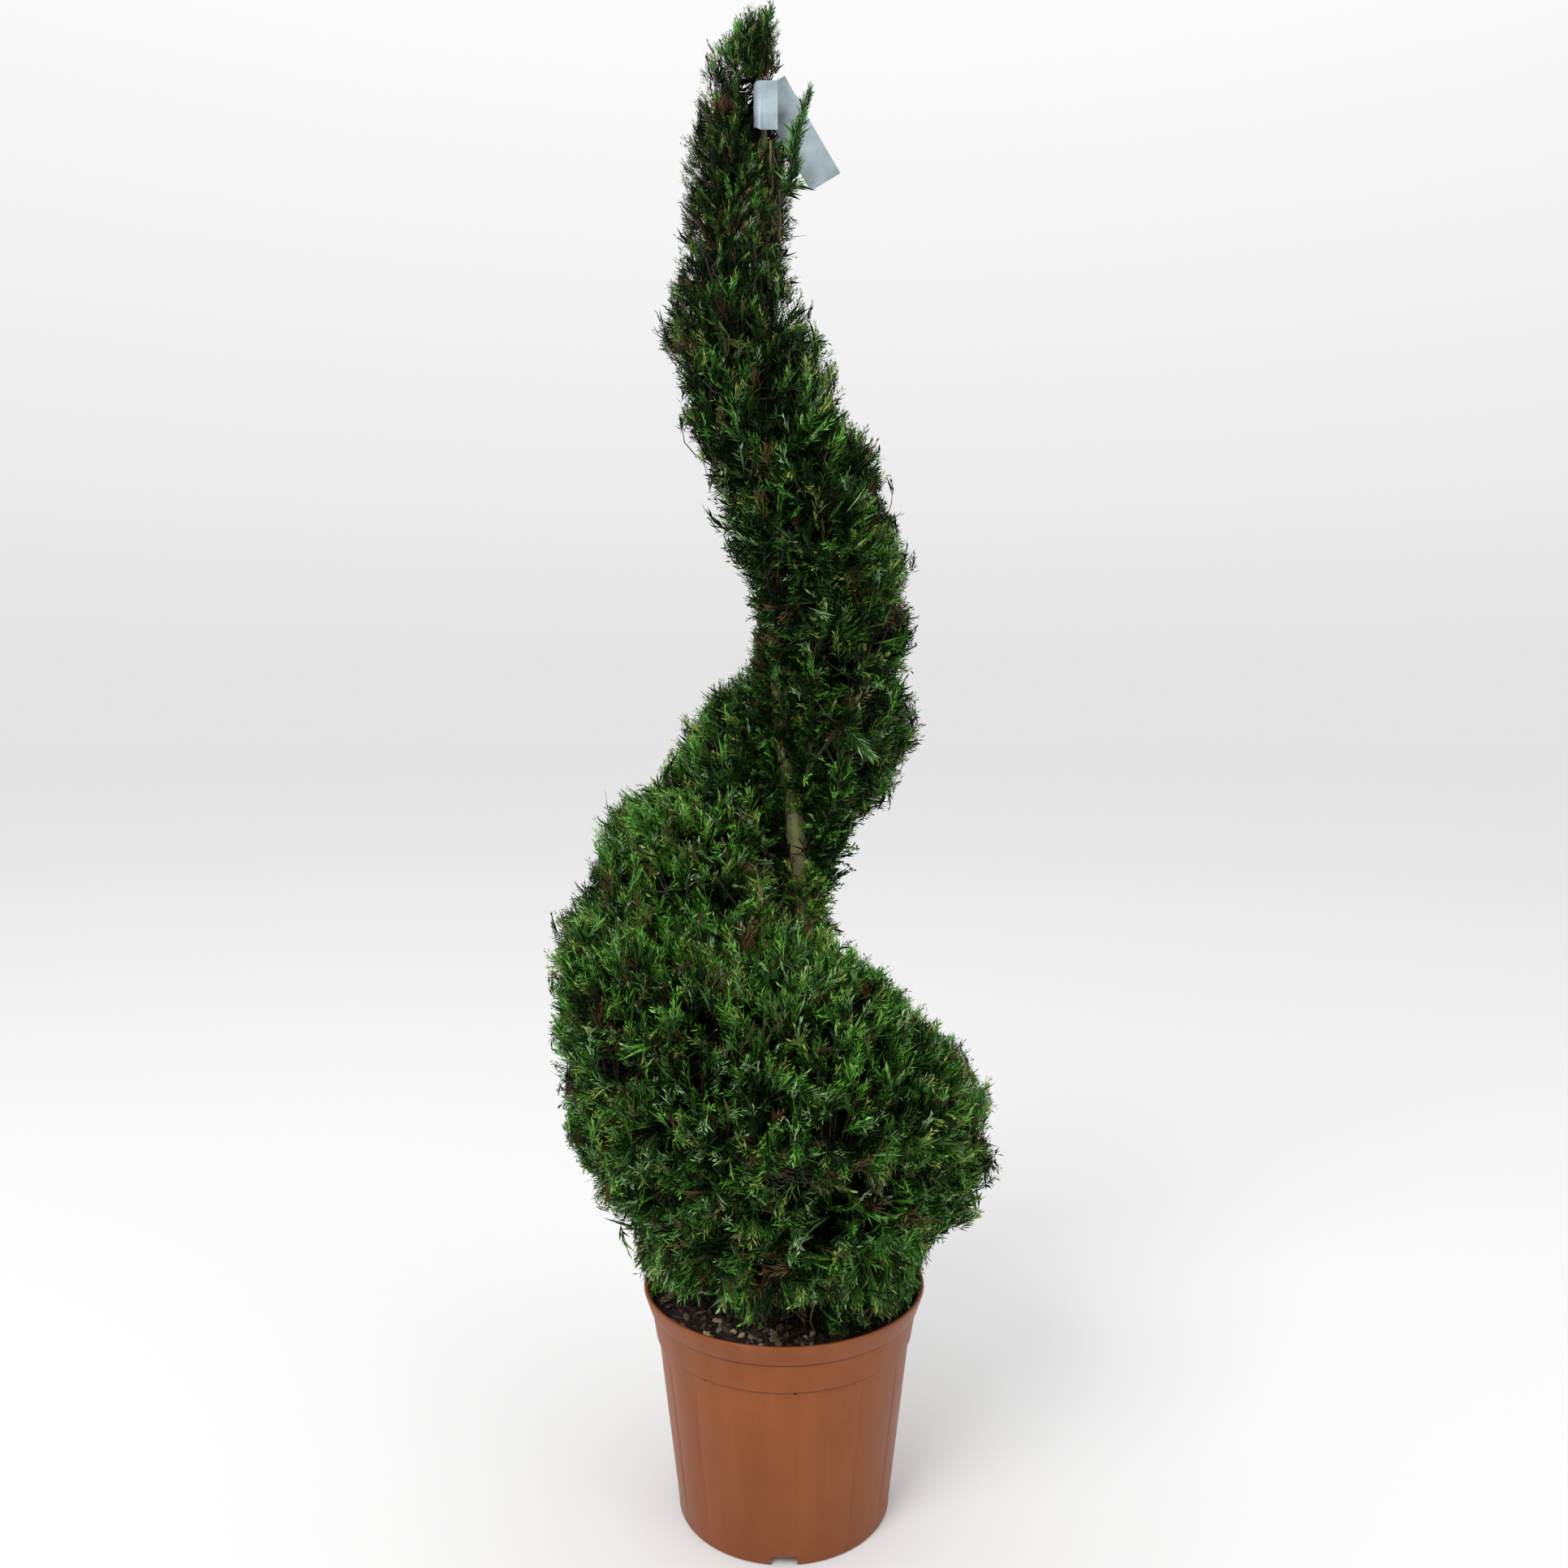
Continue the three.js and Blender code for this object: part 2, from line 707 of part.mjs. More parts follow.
// The space that the foliage leaves round the label, as one convex piece between each two frames
function labelSpace(frames) {
  const rings = stripRings(frames, label.gap);
  const between = rings.slice(1).map((ring, k) => new ConvexGeometry([...rings[k], ...ring]));
  return wasm.Manifold.union(between.map(solid));
}

// A shape with a margin all round, as copies moved a step along each axis
function withMargin(shape, step) {
  const moves = [[step, 0, 0], [-step, 0, 0], [0, step, 0], [0, -step, 0], [0, 0, step], [0, 0, -step]];
  return wasm.Manifold.union(moves.map((move) => shape.translate(move)));
}

const finishes = {
  terracotta: { color: 0xa85f3a, roughness: 0.5, metalness: 0 },
  compost: { color: 0x2c2019, roughness: 1, metalness: 0 },
  bark: { color: 0x7c6c52, roughness: 0.9, metalness: 0 },
  twig: { color: 0x6e4a2e, roughness: 0.9, metalness: 0 },
  foliage: { color: 0x234f1d, roughness: 0.75, metalness: 0 },
  label: { color: 0xb9c6cf, roughness: 0.45, metalness: 0 },
};

function assemble() {
  const tree = new THREE.Group();
  const add = (name, shape, finish) => {
    const mesh = new THREE.Mesh(geometryOf(shape), new THREE.MeshStandardMaterial(finishes[finish]));
    mesh.name = name;
    tree.add(mesh);
  };
  add('pot', makePot(), 'terracotta');
  add('compost', makeCompost(), 'compost');
  add('trunk', trunkSolid(0), 'bark');

  const barkSpace = trunkSolid(clearance, compostTop, trunk.top + clearance);
  const trunkSpace = trunkSolid(core.trunkGap, compostTop - 5, trunk.top + core.trunkGap);
  const frames = labelFrames();
  add('label', makeLabel(frames), 'label');

  const whole = wholeCore().subtract(trunkSpace);
  const coreSpace = withMargin(whole, clearance + 0.2);
  const spaces = [barkSpace, labelSpace(frames)];
  const limbs = labelLines(frames);
  for (const bough of boughs) {
    const shape = makeBough(bough, barkSpace, coreSpace);
    add(bough.name, shape, 'twig');
    spaces.push(withMargin(shape, clearance));
    limbs.push({ line: boughLine(bough), radius: 1.2 * boughRadius(bough) + 1.5 });
  }
  const shoot = makeSideShoot(wasm.Manifold.union(spaces));
  add(sideShoot.name, shoot, 'foliage');
  spaces.push(withMargin(shoot, clearance));
  limbs.push({ line: sideShootCurve().getPoints(8), radius: 10 });

  const keepClear = wasm.Manifold.union(spaces);
  const sprays = growSprays(limbs);
  massNames.forEach((name, index) => {
    const space = massSpace(index);
    const parts = [whole.intersect(space), ...sprays[index]];
    if (index < massNames.length - 1) parts.push(massStem(index).intersect(space));
    add(name, largest(wasm.Manifold.union(parts).subtract(keepClear)), 'foliage');
  });
  return tree;
}

const spiralTopiary = assemble();
export default spiralTopiary;
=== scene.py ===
import math

import bpy
import numpy as np
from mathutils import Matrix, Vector
from mathutils.kdtree import KDTree


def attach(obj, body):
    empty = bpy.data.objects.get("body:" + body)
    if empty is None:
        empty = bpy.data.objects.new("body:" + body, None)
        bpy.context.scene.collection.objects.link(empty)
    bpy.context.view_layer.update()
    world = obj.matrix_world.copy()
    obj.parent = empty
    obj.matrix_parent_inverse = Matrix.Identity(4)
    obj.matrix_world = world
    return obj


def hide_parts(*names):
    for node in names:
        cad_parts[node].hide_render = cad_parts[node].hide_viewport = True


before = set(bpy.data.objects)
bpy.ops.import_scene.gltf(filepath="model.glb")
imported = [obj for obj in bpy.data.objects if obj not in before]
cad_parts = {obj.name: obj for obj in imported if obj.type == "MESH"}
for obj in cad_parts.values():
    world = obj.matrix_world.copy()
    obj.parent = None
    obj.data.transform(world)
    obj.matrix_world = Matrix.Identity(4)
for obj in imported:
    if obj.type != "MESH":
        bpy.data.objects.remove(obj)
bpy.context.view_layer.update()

# A conifer clipped into a spiral, in its round nursery pot. Sizes and places are in millimetres,
# +Z up and -Y to the front, and turn to metres when a mesh is made.
mm = 0.001
up = np.array([0.0, 0.0, 1.0])
print("frame:", len(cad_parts), "nodes")


# small helpers for numbers, meshes and nodes

def smooth(x):
    s = np.clip(x, 0, 1)
    return s * s * (3 - 2 * s)


def unit(v):
    return v / np.maximum(np.linalg.norm(v, axis=-1, keepdims=True), 1e-9)


def levelWay(angle):
    # the level direction at an angle from +X
    return np.stack([np.cos(angle), np.sin(angle), 0 * angle], -1)


def turnFrom(heading, angle):
    # how far an angle is turned from a heading, the short way round
    return np.angle(np.exp(1j * (angle - heading)))


def spin(x, y, angle):
    # level places turned round the Z axis
    cos, sin = np.cos(angle), np.sin(angle)
    return x * cos - y * sin, x * sin + y * cos


def squareTo(heading, v):
    # the direction of what is left of v square to the heading
    return unit(v - (v * heading).sum(-1, keepdims=True) * heading)


def spotsOn(path, at, places):
    # spots on a path whose points stand at the given places along it
    return np.stack([np.interp(places, at, path[:, i]) for i in range(3)], -1)


def along(rows, z, column=1):
    # a smooth curve through rows that start with a height, with no overshoot between them
    table = np.array(rows, float)
    heights, values = table[:, 0], table[:, column]
    z = np.clip(z, heights[0], heights[-1])
    k = np.clip(np.searchsorted(heights, z, side="right") - 1, 0, len(rows) - 2)
    slopes = np.diff(values) / np.diff(heights)
    before, after = slopes[:-1], slopes[1:]
    level = before * after <= 0
    inner = np.where(level, 0, 2 * before * after / np.where(level, 1, before + after))
    tangents = np.concatenate([slopes[:1], inner, slopes[-1:]])
    span = heights[k + 1] - heights[k]
    s = (z - heights[k]) / span
    bend = (1 - s) * tangents[k] - s * tangents[k + 1]
    return values[k] + (values[k + 1] - values[k]) * smooth(s) + span * s * (1 - s) * bend


def softNoise(points, wavelength, seed, waves=9):
    # a smooth random field from -1 to 1 or so, as a sum of waves in all directions
    rng = np.random.default_rng(seed)
    ways = unit(rng.normal(size=(waves, 3))) * rng.uniform(0.7, 1.4, (waves, 1))
    phases = rng.uniform(0, 2 * np.pi, waves)
    return np.sin(points @ ways.T * (2 * np.pi / wavelength) + phases).sum(-1) / math.sqrt(waves)


def hexColour(text):
    # sRGB hex to linear light
    parts = [int(text[i:i + 2], 16) / 255 for i in (1, 3, 5)]
    return [c / 12.92 if c <= 0.04045 else ((c + 0.055) / 1.055) ** 2.4 for c in parts] + [1.0]


def makePiece(name, points, faceSets, materials, materialOf=None, sharpOver=None):
    # a mesh from arrays: faceSets holds arrays of faces with the same number of corners each
    faceSets = [np.asarray(f, np.int32) for f in faceSets if len(f)]
    corners = np.concatenate([f.ravel() for f in faceSets])
    sizes = np.concatenate([np.full(len(f), f.shape[1], np.int32) for f in faceSets])
    mesh = bpy.data.meshes.new(name)
    mesh.vertices.add(len(points))
    mesh.vertices.foreach_set("co", (np.asarray(points) * mm).astype(np.float32).ravel())
    mesh.loops.add(len(corners))
    mesh.loops.foreach_set("vertex_index", corners)
    mesh.polygons.add(len(sizes))
    mesh.polygons.foreach_set("loop_start", np.concatenate([[0], np.cumsum(sizes)[:-1]]).astype(np.int32))
    if materialOf is not None:
        mesh.polygons.foreach_set("material_index", np.asarray(materialOf, np.int32))
    mesh.update(calc_edges=True)
    mesh.validate()
    for material in materials:
        mesh.materials.append(material)
    if sharpOver is not None:
        mesh.polygons.foreach_set("use_smooth", np.ones(len(mesh.polygons), bool))
        mesh.set_sharp_from_angle(angle=math.radians(sharpOver))
    piece = bpy.data.objects.new(name, mesh)
    bpy.context.scene.collection.objects.link(piece)
    return piece


def finishPiece(piece, slotName, *nodes):
    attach(piece, "root")
    if nodes:
        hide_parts(*nodes)
    print(piece.name, len(piece.data.polygons), "faces")


def ringFaces(rings, sides):
    # quads between rings of points that lie one after the other
    a = np.arange(rings - 1)[:, None] * sides
    i = np.arange(sides)[None, :]
    j = (i + 1) % sides
    return np.stack([a + i, a + j, a + j + sides, a + i + sides], -1).reshape(-1, 4)


def endCaps(rings, sides):
    # the two faces that close such a row of rings, at its first and its last
    return np.stack([np.arange(sides)[::-1], (rings - 1) * sides + np.arange(sides)])


def tubes(paths, radii, sides):
    # round tapering tubes along many paths at once: paths are (number, rings, 3), radii (number, rings)
    number, rings, _ = paths.shape
    heading = unit(np.gradient(paths, axis=1))
    side = np.cross(heading, up)
    flat = np.linalg.norm(side, axis=-1, keepdims=True) < 0.2
    side = unit(np.where(flat, np.cross(heading, [1.0, 0.0, 0.0]), side))
    other = np.cross(heading, side)
    turn = 2 * np.pi * np.arange(sides) / sides
    round_ = side[:, :, None] * np.cos(turn)[:, None] + other[:, :, None] * np.sin(turn)[:, None]
    points = paths[:, :, None] + radii[:, :, None, None] * round_
    quads = ringFaces(rings, sides)[None] + (np.arange(number) * rings * sides)[:, None, None]
    ends = (np.arange(number) * rings * sides)[:, None] + (rings - 1) * sides + np.arange(sides)[None, :]
    return points.reshape(-1, 3), quads.reshape(-1, 4), ends


def makeTubes(name, paths, radii, sides, materials, tones, nodes=(), sharpOver=None):
    # wood along many paths as one piece, each tube in the material that its tone names
    points, quads, ends = tubes(np.array(paths), np.array(radii), sides)
    dealt = np.concatenate([np.repeat(tones, len(quads) // len(tones)), tones])
    finishPiece(makePiece(name, points, [quads, ends], materials, dealt, sharpOver), "twig", *nodes)


def addNode(tree, kind, settings=None, links=None):
    node = tree.nodes.new(kind)
    for key, value in (settings or {}).items():
        if isinstance(key, int) or key in node.inputs:
            node.inputs[key].default_value = value
        else:
            setattr(node, key, value)
    for key, source in (links or {}).items():
        tree.links.new(source, node.inputs[key])
    return node


def newMaterial(name, colour, roughness, ior=1.5):
    material = bpy.data.materials.new(name)
    material.use_nodes = True
    tree = material.node_tree
    shader = tree.nodes["Principled BSDF"]
    shader.inputs["Base Color"].default_value = hexColour(colour)
    shader.inputs["Roughness"].default_value = roughness
    shader.inputs["IOR"].default_value = ior
    return material, tree, shader


def perMetre(size):
    # a texture's scale for a pattern of this size in millimetres
    return 1000 / size


def addLayer(tree, below, colour, value, start, end, most=1.0):
    # a colour over the one below: not where the value is at start, and at its most where it is at end
    share = addNode(tree, "ShaderNodeMapRange", {"From Min": start, "From Max": end, "To Max": most},
                    {"Value": value})
    settings, links = {"data_type": "RGBA", 7: hexColour(colour)}, {0: share.outputs["Result"]}
    if isinstance(below, str):
        settings[6] = hexColour(below)
    else:
        links[6] = below
    return addNode(tree, "ShaderNodeMix", settings, links).outputs[2]


def addGrain(tree, shader, size, detail, strength, depth, roughness=0.5):
    # the surface's fine relief: how large its grain is in millimetres, and how deep in metres
    place = addNode(tree, "ShaderNodeTexCoord").outputs["Object"]
    grain = addNode(tree, "ShaderNodeTexNoise",
                    {"Scale": perMetre(size), "Detail": detail, "Roughness": roughness}, {"Vector": place})
    bump = addNode(tree, "ShaderNodeBump", {"Strength": strength, "Distance": depth},
                   {"Height": grain.outputs["Fac"]})
    tree.links.new(bump.outputs[0], shader.inputs["Normal"])


# camera, floor and light

stage = {
    "lens": 27.95,  # mm on a 36 mm sensor, as the photo's own view
    "cameraAt": (0.0, -1.211, 0.797),
    "cameraTilt": 86.9,  # degrees up from straight down
    "floorRadius": 40.0,
    "floorSides": 96,
    "floorDrop": 0.0002,  # so that it doesn't share the pot's lowest plane
    "floorColour": "#e1e1e1",
    "skyRise": (0.05, 0.8, 0.78, 1.1),  # the sky between these heights (as a sine) goes between these levels
    "lights": [("key", 130.0, 2.4, (-2.0, -3.2, 3.6)), ("fill", 18.0, 1.8, (2.8, -2.2, 1.5))],
    "lightsAimAt": (0, 0, 0.7),
}


def makeStage():
    scene = bpy.context.scene
    camera = bpy.data.objects.new("camera", bpy.data.cameras.new("camera"))
    camera.data.lens = stage["lens"]
    camera.data.sensor_width = 36.0
    camera.location = stage["cameraAt"]
    camera.rotation_euler = (math.radians(stage["cameraTilt"]), 0, 0)
    scene.collection.objects.link(camera)
    scene.camera = camera
    scene.view_settings.view_transform = "Standard"

    steps = stage["floorSides"]
    rim = levelWay(2 * np.pi * np.arange(steps) / steps) * stage["floorRadius"] / mm
    floorMaterial, _, shader = newMaterial("paintedStudioFloor", stage["floorColour"], 0.9)
    shader.inputs["Specular IOR Level"].default_value = 0.05
    floor = makePiece("floor", rim, [np.arange(steps)[None, :]], [floorMaterial])
    floor.location.z = -stage["floorDrop"]

    world = bpy.data.worlds.new("softbox")
    scene.world = world
    world.use_nodes = True
    tree = world.node_tree
    place = addNode(tree, "ShaderNodeTexCoord")
    split = addNode(tree, "ShaderNodeSeparateXYZ", links={0: place.outputs["Generated"]})
    rise = addNode(tree, "ShaderNodeMapRange",
                   dict(zip(("From Min", "From Max", "To Min", "To Max"), stage["skyRise"])),
                   {"Value": split.outputs["Z"]})
    tree.links.new(rise.outputs["Result"], tree.nodes["Background"].inputs["Strength"])
    tree.nodes["Background"].inputs["Color"].default_value = (1, 1, 1, 1)

    for name, power, size, at in stage["lights"]:
        light = bpy.data.objects.new(name, bpy.data.lights.new(name, "AREA"))
        light.data.shape = "DISK"
        light.data.size = size
        light.data.energy = power
        light.location = at
        way = Vector(stage["lightsAimAt"]) - Vector(at)
        light.rotation_euler = way.to_track_quat("-Z", "Y").to_euler()
        scene.collection.objects.link(light)
    print("stage ready")


# the clipped shape, by the rule that the solids follow

shape = {
    "compost": 215,
    "top": 1483,
    "axis": [(215, 9), (316, 12), (365, 0), (430, -8), (620, 2), (750, 4), (865, -7), (1000, -12),
             (1330, -18), (1440, -31), (1463, -27), (1483, -15)],
    "radius": [(215, 96), (241, 137), (316, 196), (365, 213), (450, 246), (560, 232), (640, 224),
               (700, 210), (760, 192), (810, 163), (860, 146), (1040, 140), (1120, 114), (1200, 106),
               (1250, 89), (1330, 80), (1414, 55), (1440, 27), (1463, 19), (1483, 6)],
    "facing": [(215, 30), (440, -91), (590, -178), (750, -268), (905, -358), (1060, -446), (1220, -534),
               (1380, -585), (1483, -600)],
    "power": [(440, 0.25), (570, 0.33), (635, 1.3), (700, 0.9), (760, 0.7), (950, 0.6), (1050, 0.75),
              (1150, 0.5), (1250, 0.7), (1483, 0.5)],
    "foot": (385, 450),  # the foliage is whole all round under the first, and the ramp alone over the second
    "tip": (1405, 1435),
    "lumpDepth": 4.5,
    "lumpsRound": 5,
    "lumpLength": 150,
    "lumpBeat": 2.6,  # how often the lumps come and go in twice that length
    "cuts": [226, 306, 398, 500, 612, 742, 884, 1034, 1176, 1284, 1371],
    "cutSlope": 0.7,
    "cutSlopeOver": 400,
    "cutRounds": 14,
    "cutStep": 0.6,
}
trims = {
    # how far clumps stand out (or back) at the left and the right edge, by height
    "left": [(230, 14), (244, 12), (268, 10), (301, -22), (330, -20), (358, -10), (472, -17), (528, 4),
             (590, 2), (640, -24), (695, 14), (748, -18), (803, 18), (858, -26), (895, -26), (920, -36),
             (940, -28), (967, -5), (1021, -26), (1088, -24), (1128, -2), (1236, -8), (1290, 4), (1344, 6)],
    "right": [(232, 2), (250, -16), (301, -35), (328, -26), (350, -7), (366, -5), (385, -13), (415, -20),
              (445, -9), (472, -8), (528, -17), (584, -16), (660, 0), (750, -21), (805, -3), (913, -19),
              (967, -6), (1021, -12), (1150, -4), (1202, -14), (1240, 0), (1300, -20), (1332, -24),
              (1370, 0)],
}
massNodes = ["foliage_01_skirt", "foliage_02_front", "foliage_03_front_left", "foliage_04_left",
             "foliage_05_back", "foliage_06_right", "foliage_07_right_front", "foliage_08_front_left",
             "foliage_09_left", "foliage_10_back_left", "foliage_11_tip"]

trunk = {
    "line": [(215, 12, 0), (400, 20, -4), (600, 18, -2), (700, 10, 0), (785, -2, 0), (1000, -12, -2),
             (1330, -18, 0), (1445, -25, 0)],  # height, sideways, back
    "top": 1445,
    "tipRadius": 2,
    "footRadius": 15.5,
    "flare": 9,
    "flareHeight": 22,
    "sides": 56,
    "ringHeight": 2.6,
    "furrow": 0.035,  # depth of the bark's furrows, of the radius
    "furrowWaves": [(0.55, 7, 21), (0.45, 3.4, 22)],  # share, breadth and seed of the furrows
    "furrowStretch": 0.12,
    "buttresses": 5,
    "buttressDepth": 0.9,
    "buttressHeight": 26,
    "knots": 46,
    "knotHeights": (240, 1400),
    "knotSize": (0.16, 0.3),  # of the trunk's radius
    "knotDepth": (0.2, 0.5),  # of the knot's size
    "seed": 12,
}


def trunkCentre(z):
    z = np.asarray(z, float)
    return np.stack([along(trunk["line"], z, 1), along(trunk["line"], z, 2), z], -1)


def trunkRadius(z):
    share = (np.asarray(z, float) - shape["compost"]) / (trunk["top"] - shape["compost"])
    flare = trunk["flare"] * np.exp(-(z - shape["compost"]) / trunk["flareHeight"])
    return trunk["tipRadius"] + (trunk["footRadius"] - trunk["tipRadius"]) * np.clip(1 - share, 0, 1) + flare


def outline(angle, z):
    # the clipped face's distance from the shape's axis
    facing = np.radians(along(shape["facing"], z))
    ramp = ((1 + np.cos(angle - facing)) / 2) ** along(shape["power"], z)
    foot = 1 - smooth((z - shape["foot"][0]) / (shape["foot"][1] - shape["foot"][0]))
    tip = smooth((z - shape["tip"][0]) / (shape["tip"][1] - shape["tip"][0]))
    share = ramp + (1 - ramp) * np.maximum(foot, tip)
    lump = np.sin(shape["lumpsRound"] * angle + 2 * np.pi * z / shape["lumpLength"])
    lump = lump * np.sin(shape["lumpBeat"] * np.pi * z / shape["lumpLength"])
    return (along(shape["radius"], z) + shape["lumpDepth"] * lump) * share


def facePoint(angle, z):
    r = outline(angle, z)
    return np.stack([along(shape["axis"], z) + r * np.cos(angle), r * np.sin(angle), z], -1)


def massOf(points):
    # the mass whose space holds each point, between cuts that rise outwards as cones
    r = np.hypot(points[:, 0], points[:, 1])
    cut = points[:, 2].copy()
    for _ in range(shape["cutRounds"]):
        slope = shape["cutSlope"] * np.clip((cut - shape["compost"]) / shape["cutSlopeOver"], 0, 1)
        cut += shape["cutStep"] * (points[:, 2] - slope * r - cut)
    return np.clip(np.searchsorted(shape["cuts"], cut, side="right") - 1, 0, len(massNodes) - 1)


def depthInside(points):
    # how far each point lies inside the clipped face, measured level from the shape's axis
    dx = points[:, 0] - along(shape["axis"], points[:, 2])
    angle = np.arctan2(points[:, 1], dx)
    return outline(angle, points[:, 2]) - np.hypot(dx, points[:, 1])


def trunkGap(points):
    z = np.minimum(points[:, 2], trunk["top"])
    return np.linalg.norm(points - trunkCentre(z), axis=-1) - trunkRadius(z)


# the pot: injection moulded polypropylene, satin from its mould

pot = {
    "height": 230,
    "rimRadius": 142,
    "baseRadius": 105.5,
    "wall": 3,
    "corner": 1.3,
    "bodyRadius": 107.2,
    "bodyFoot": 9,
    "bodyTop": 179,
    "bodyTopRadius": 127,
    "collarStep": 2.2,
    "lipBottom": 208,
    "lipStep": 1.8,
    "footWidth": 12,
    "underside": 9,
    "floor": 3.5,
    "bossRadius": 22,
    "notches": 4,
    "notchWidth": 25,
    "notchHeight": 8.7,
    "drains": 6,
    "drainRadius": 6,
    "drainCircle": 58,
    "steps": 288,
    "groove": 1.3,
    "ribDepth": 1.1,
    "ribs": [-98, -84, -71, -55, -31, -12],  # degrees round, in each third of the body
    "ribWidth": 1.8,
    "ribStart": 14,
    "ribEnd": 5,
    "profileStep": 9,  # the longest edge of its section
    "sharpOver": 38,
}


def potInside(z):
    rows = [(pot["bodyFoot"], pot["bodyRadius"]), (pot["bodyTop"], pot["bodyTopRadius"]),
            (pot["height"], pot["rimRadius"] - 1)]
    return np.interp(z, [row[0] for row in rows], [row[1] for row in rows]) - pot["wall"]


def roundedProfile(corners, fillets, steps=5):
    # an outline in which the corners that have a size are drawn as small bows
    points = []
    for k, corner in enumerate(corners):
        size = fillets.get(k, 0)
        if not size:
            points.append(corner)
            continue
        here = np.array(corner, float)
        before = np.array(corners[k - 1], float) - here
        after = np.array(corners[k + 1], float) - here
        start = here + before / np.linalg.norm(before) * min(size, 0.45 * np.linalg.norm(before))
        end = here + after / np.linalg.norm(after) * min(size, 0.45 * np.linalg.norm(after))
        for t in np.linspace(0, 1, steps):
            points.append(tuple((1 - t) ** 2 * start + 2 * t * (1 - t) * here + t * t * end))
    return points


def potMaterial():
    # polypropylene coloured right through: even terracotta, with a soft satin gloss from the mould
    # and faint upright streaks where the plastic flowed
    material, tree, shader = newMaterial("mouldedPolypropylene", "#8c4c26", 0.42)
    place = addNode(tree, "ShaderNodeTexCoord").outputs["Object"]
    flow = addNode(tree, "ShaderNodeMapping", {"Scale": (1, 1, 0.06)}, {"Vector": place})
    streaks = addNode(tree, "ShaderNodeTexNoise", {"Scale": perMetre(26), "Detail": 3.0},
                      {"Vector": flow.outputs[0]})
    clouds = addNode(tree, "ShaderNodeTexNoise", {"Scale": perMetre(85), "Detail": 4.0}, {"Vector": place})
    both = addNode(tree, "ShaderNodeMath", {"operation": "ADD"},
                   {0: streaks.outputs["Fac"], 1: clouds.outputs["Fac"]})
    split = addNode(tree, "ShaderNodeSeparateXYZ", links={0: place})
    specks = addNode(tree, "ShaderNodeTexNoise", {"Scale": perMetre(7), "Detail": 5.0, "Roughness": 0.7},
                     {"Vector": place})
    body = addLayer(tree, "#793e18", "#864920", both.outputs[0], 0.75, 1.25)
    # darker towards the foot of the pot, over its lowest 150 mm
    darkerTowardsFoot = addLayer(tree, body, "#6d3b1f", split.outputs["Z"], 0.15, 0.0, 0.4)
    dustAndGrooveShade = addLayer(tree, darkerTowardsFoot, "#5a3826", specks.outputs["Fac"], 0.68, 0.8, 0.45)
    # painted shade: dark lines along the fine grooves under the collar and under the lip, where the ledge
    # above shades them
    for level in (pot["bodyTop"] + 0.3, pot["lipBottom"] + 0.3):
        off = addNode(tree, "ShaderNodeMath", {"operation": "SUBTRACT", 1: level * mm},
                      {0: split.outputs["Z"]})
        away = addNode(tree, "ShaderNodeMath", {"operation": "ABSOLUTE"}, {0: off.outputs[0]})
        dustAndGrooveShade = addLayer(tree, dustAndGrooveShade, "#3a1d0e", away.outputs[0], 0.0016, 0.0004, 0.62)
    tree.links.new(dustAndGrooveShade, shader.inputs["Base Color"])
    shader.inputs["Specular IOR Level"].default_value = 0.3
    sheen = addNode(tree, "ShaderNodeMapRange",
                    {"From Min": 0.3, "From Max": 0.7, "To Min": 0.36, "To Max": 0.52},
                    {"Value": clouds.outputs["Fac"]})
    tree.links.new(sheen.outputs["Result"], shader.inputs["Roughness"])
    addGrain(tree, shader, 1.2, 2.0, 0.12, 0.0003)
    return material


def boxPoints(low, high):
    return np.array([[(low, high)[i][0], (low, high)[j][1], (low, high)[k][2]]
                     for i in (0, 1) for j in (0, 1) for k in (0, 1)], float)


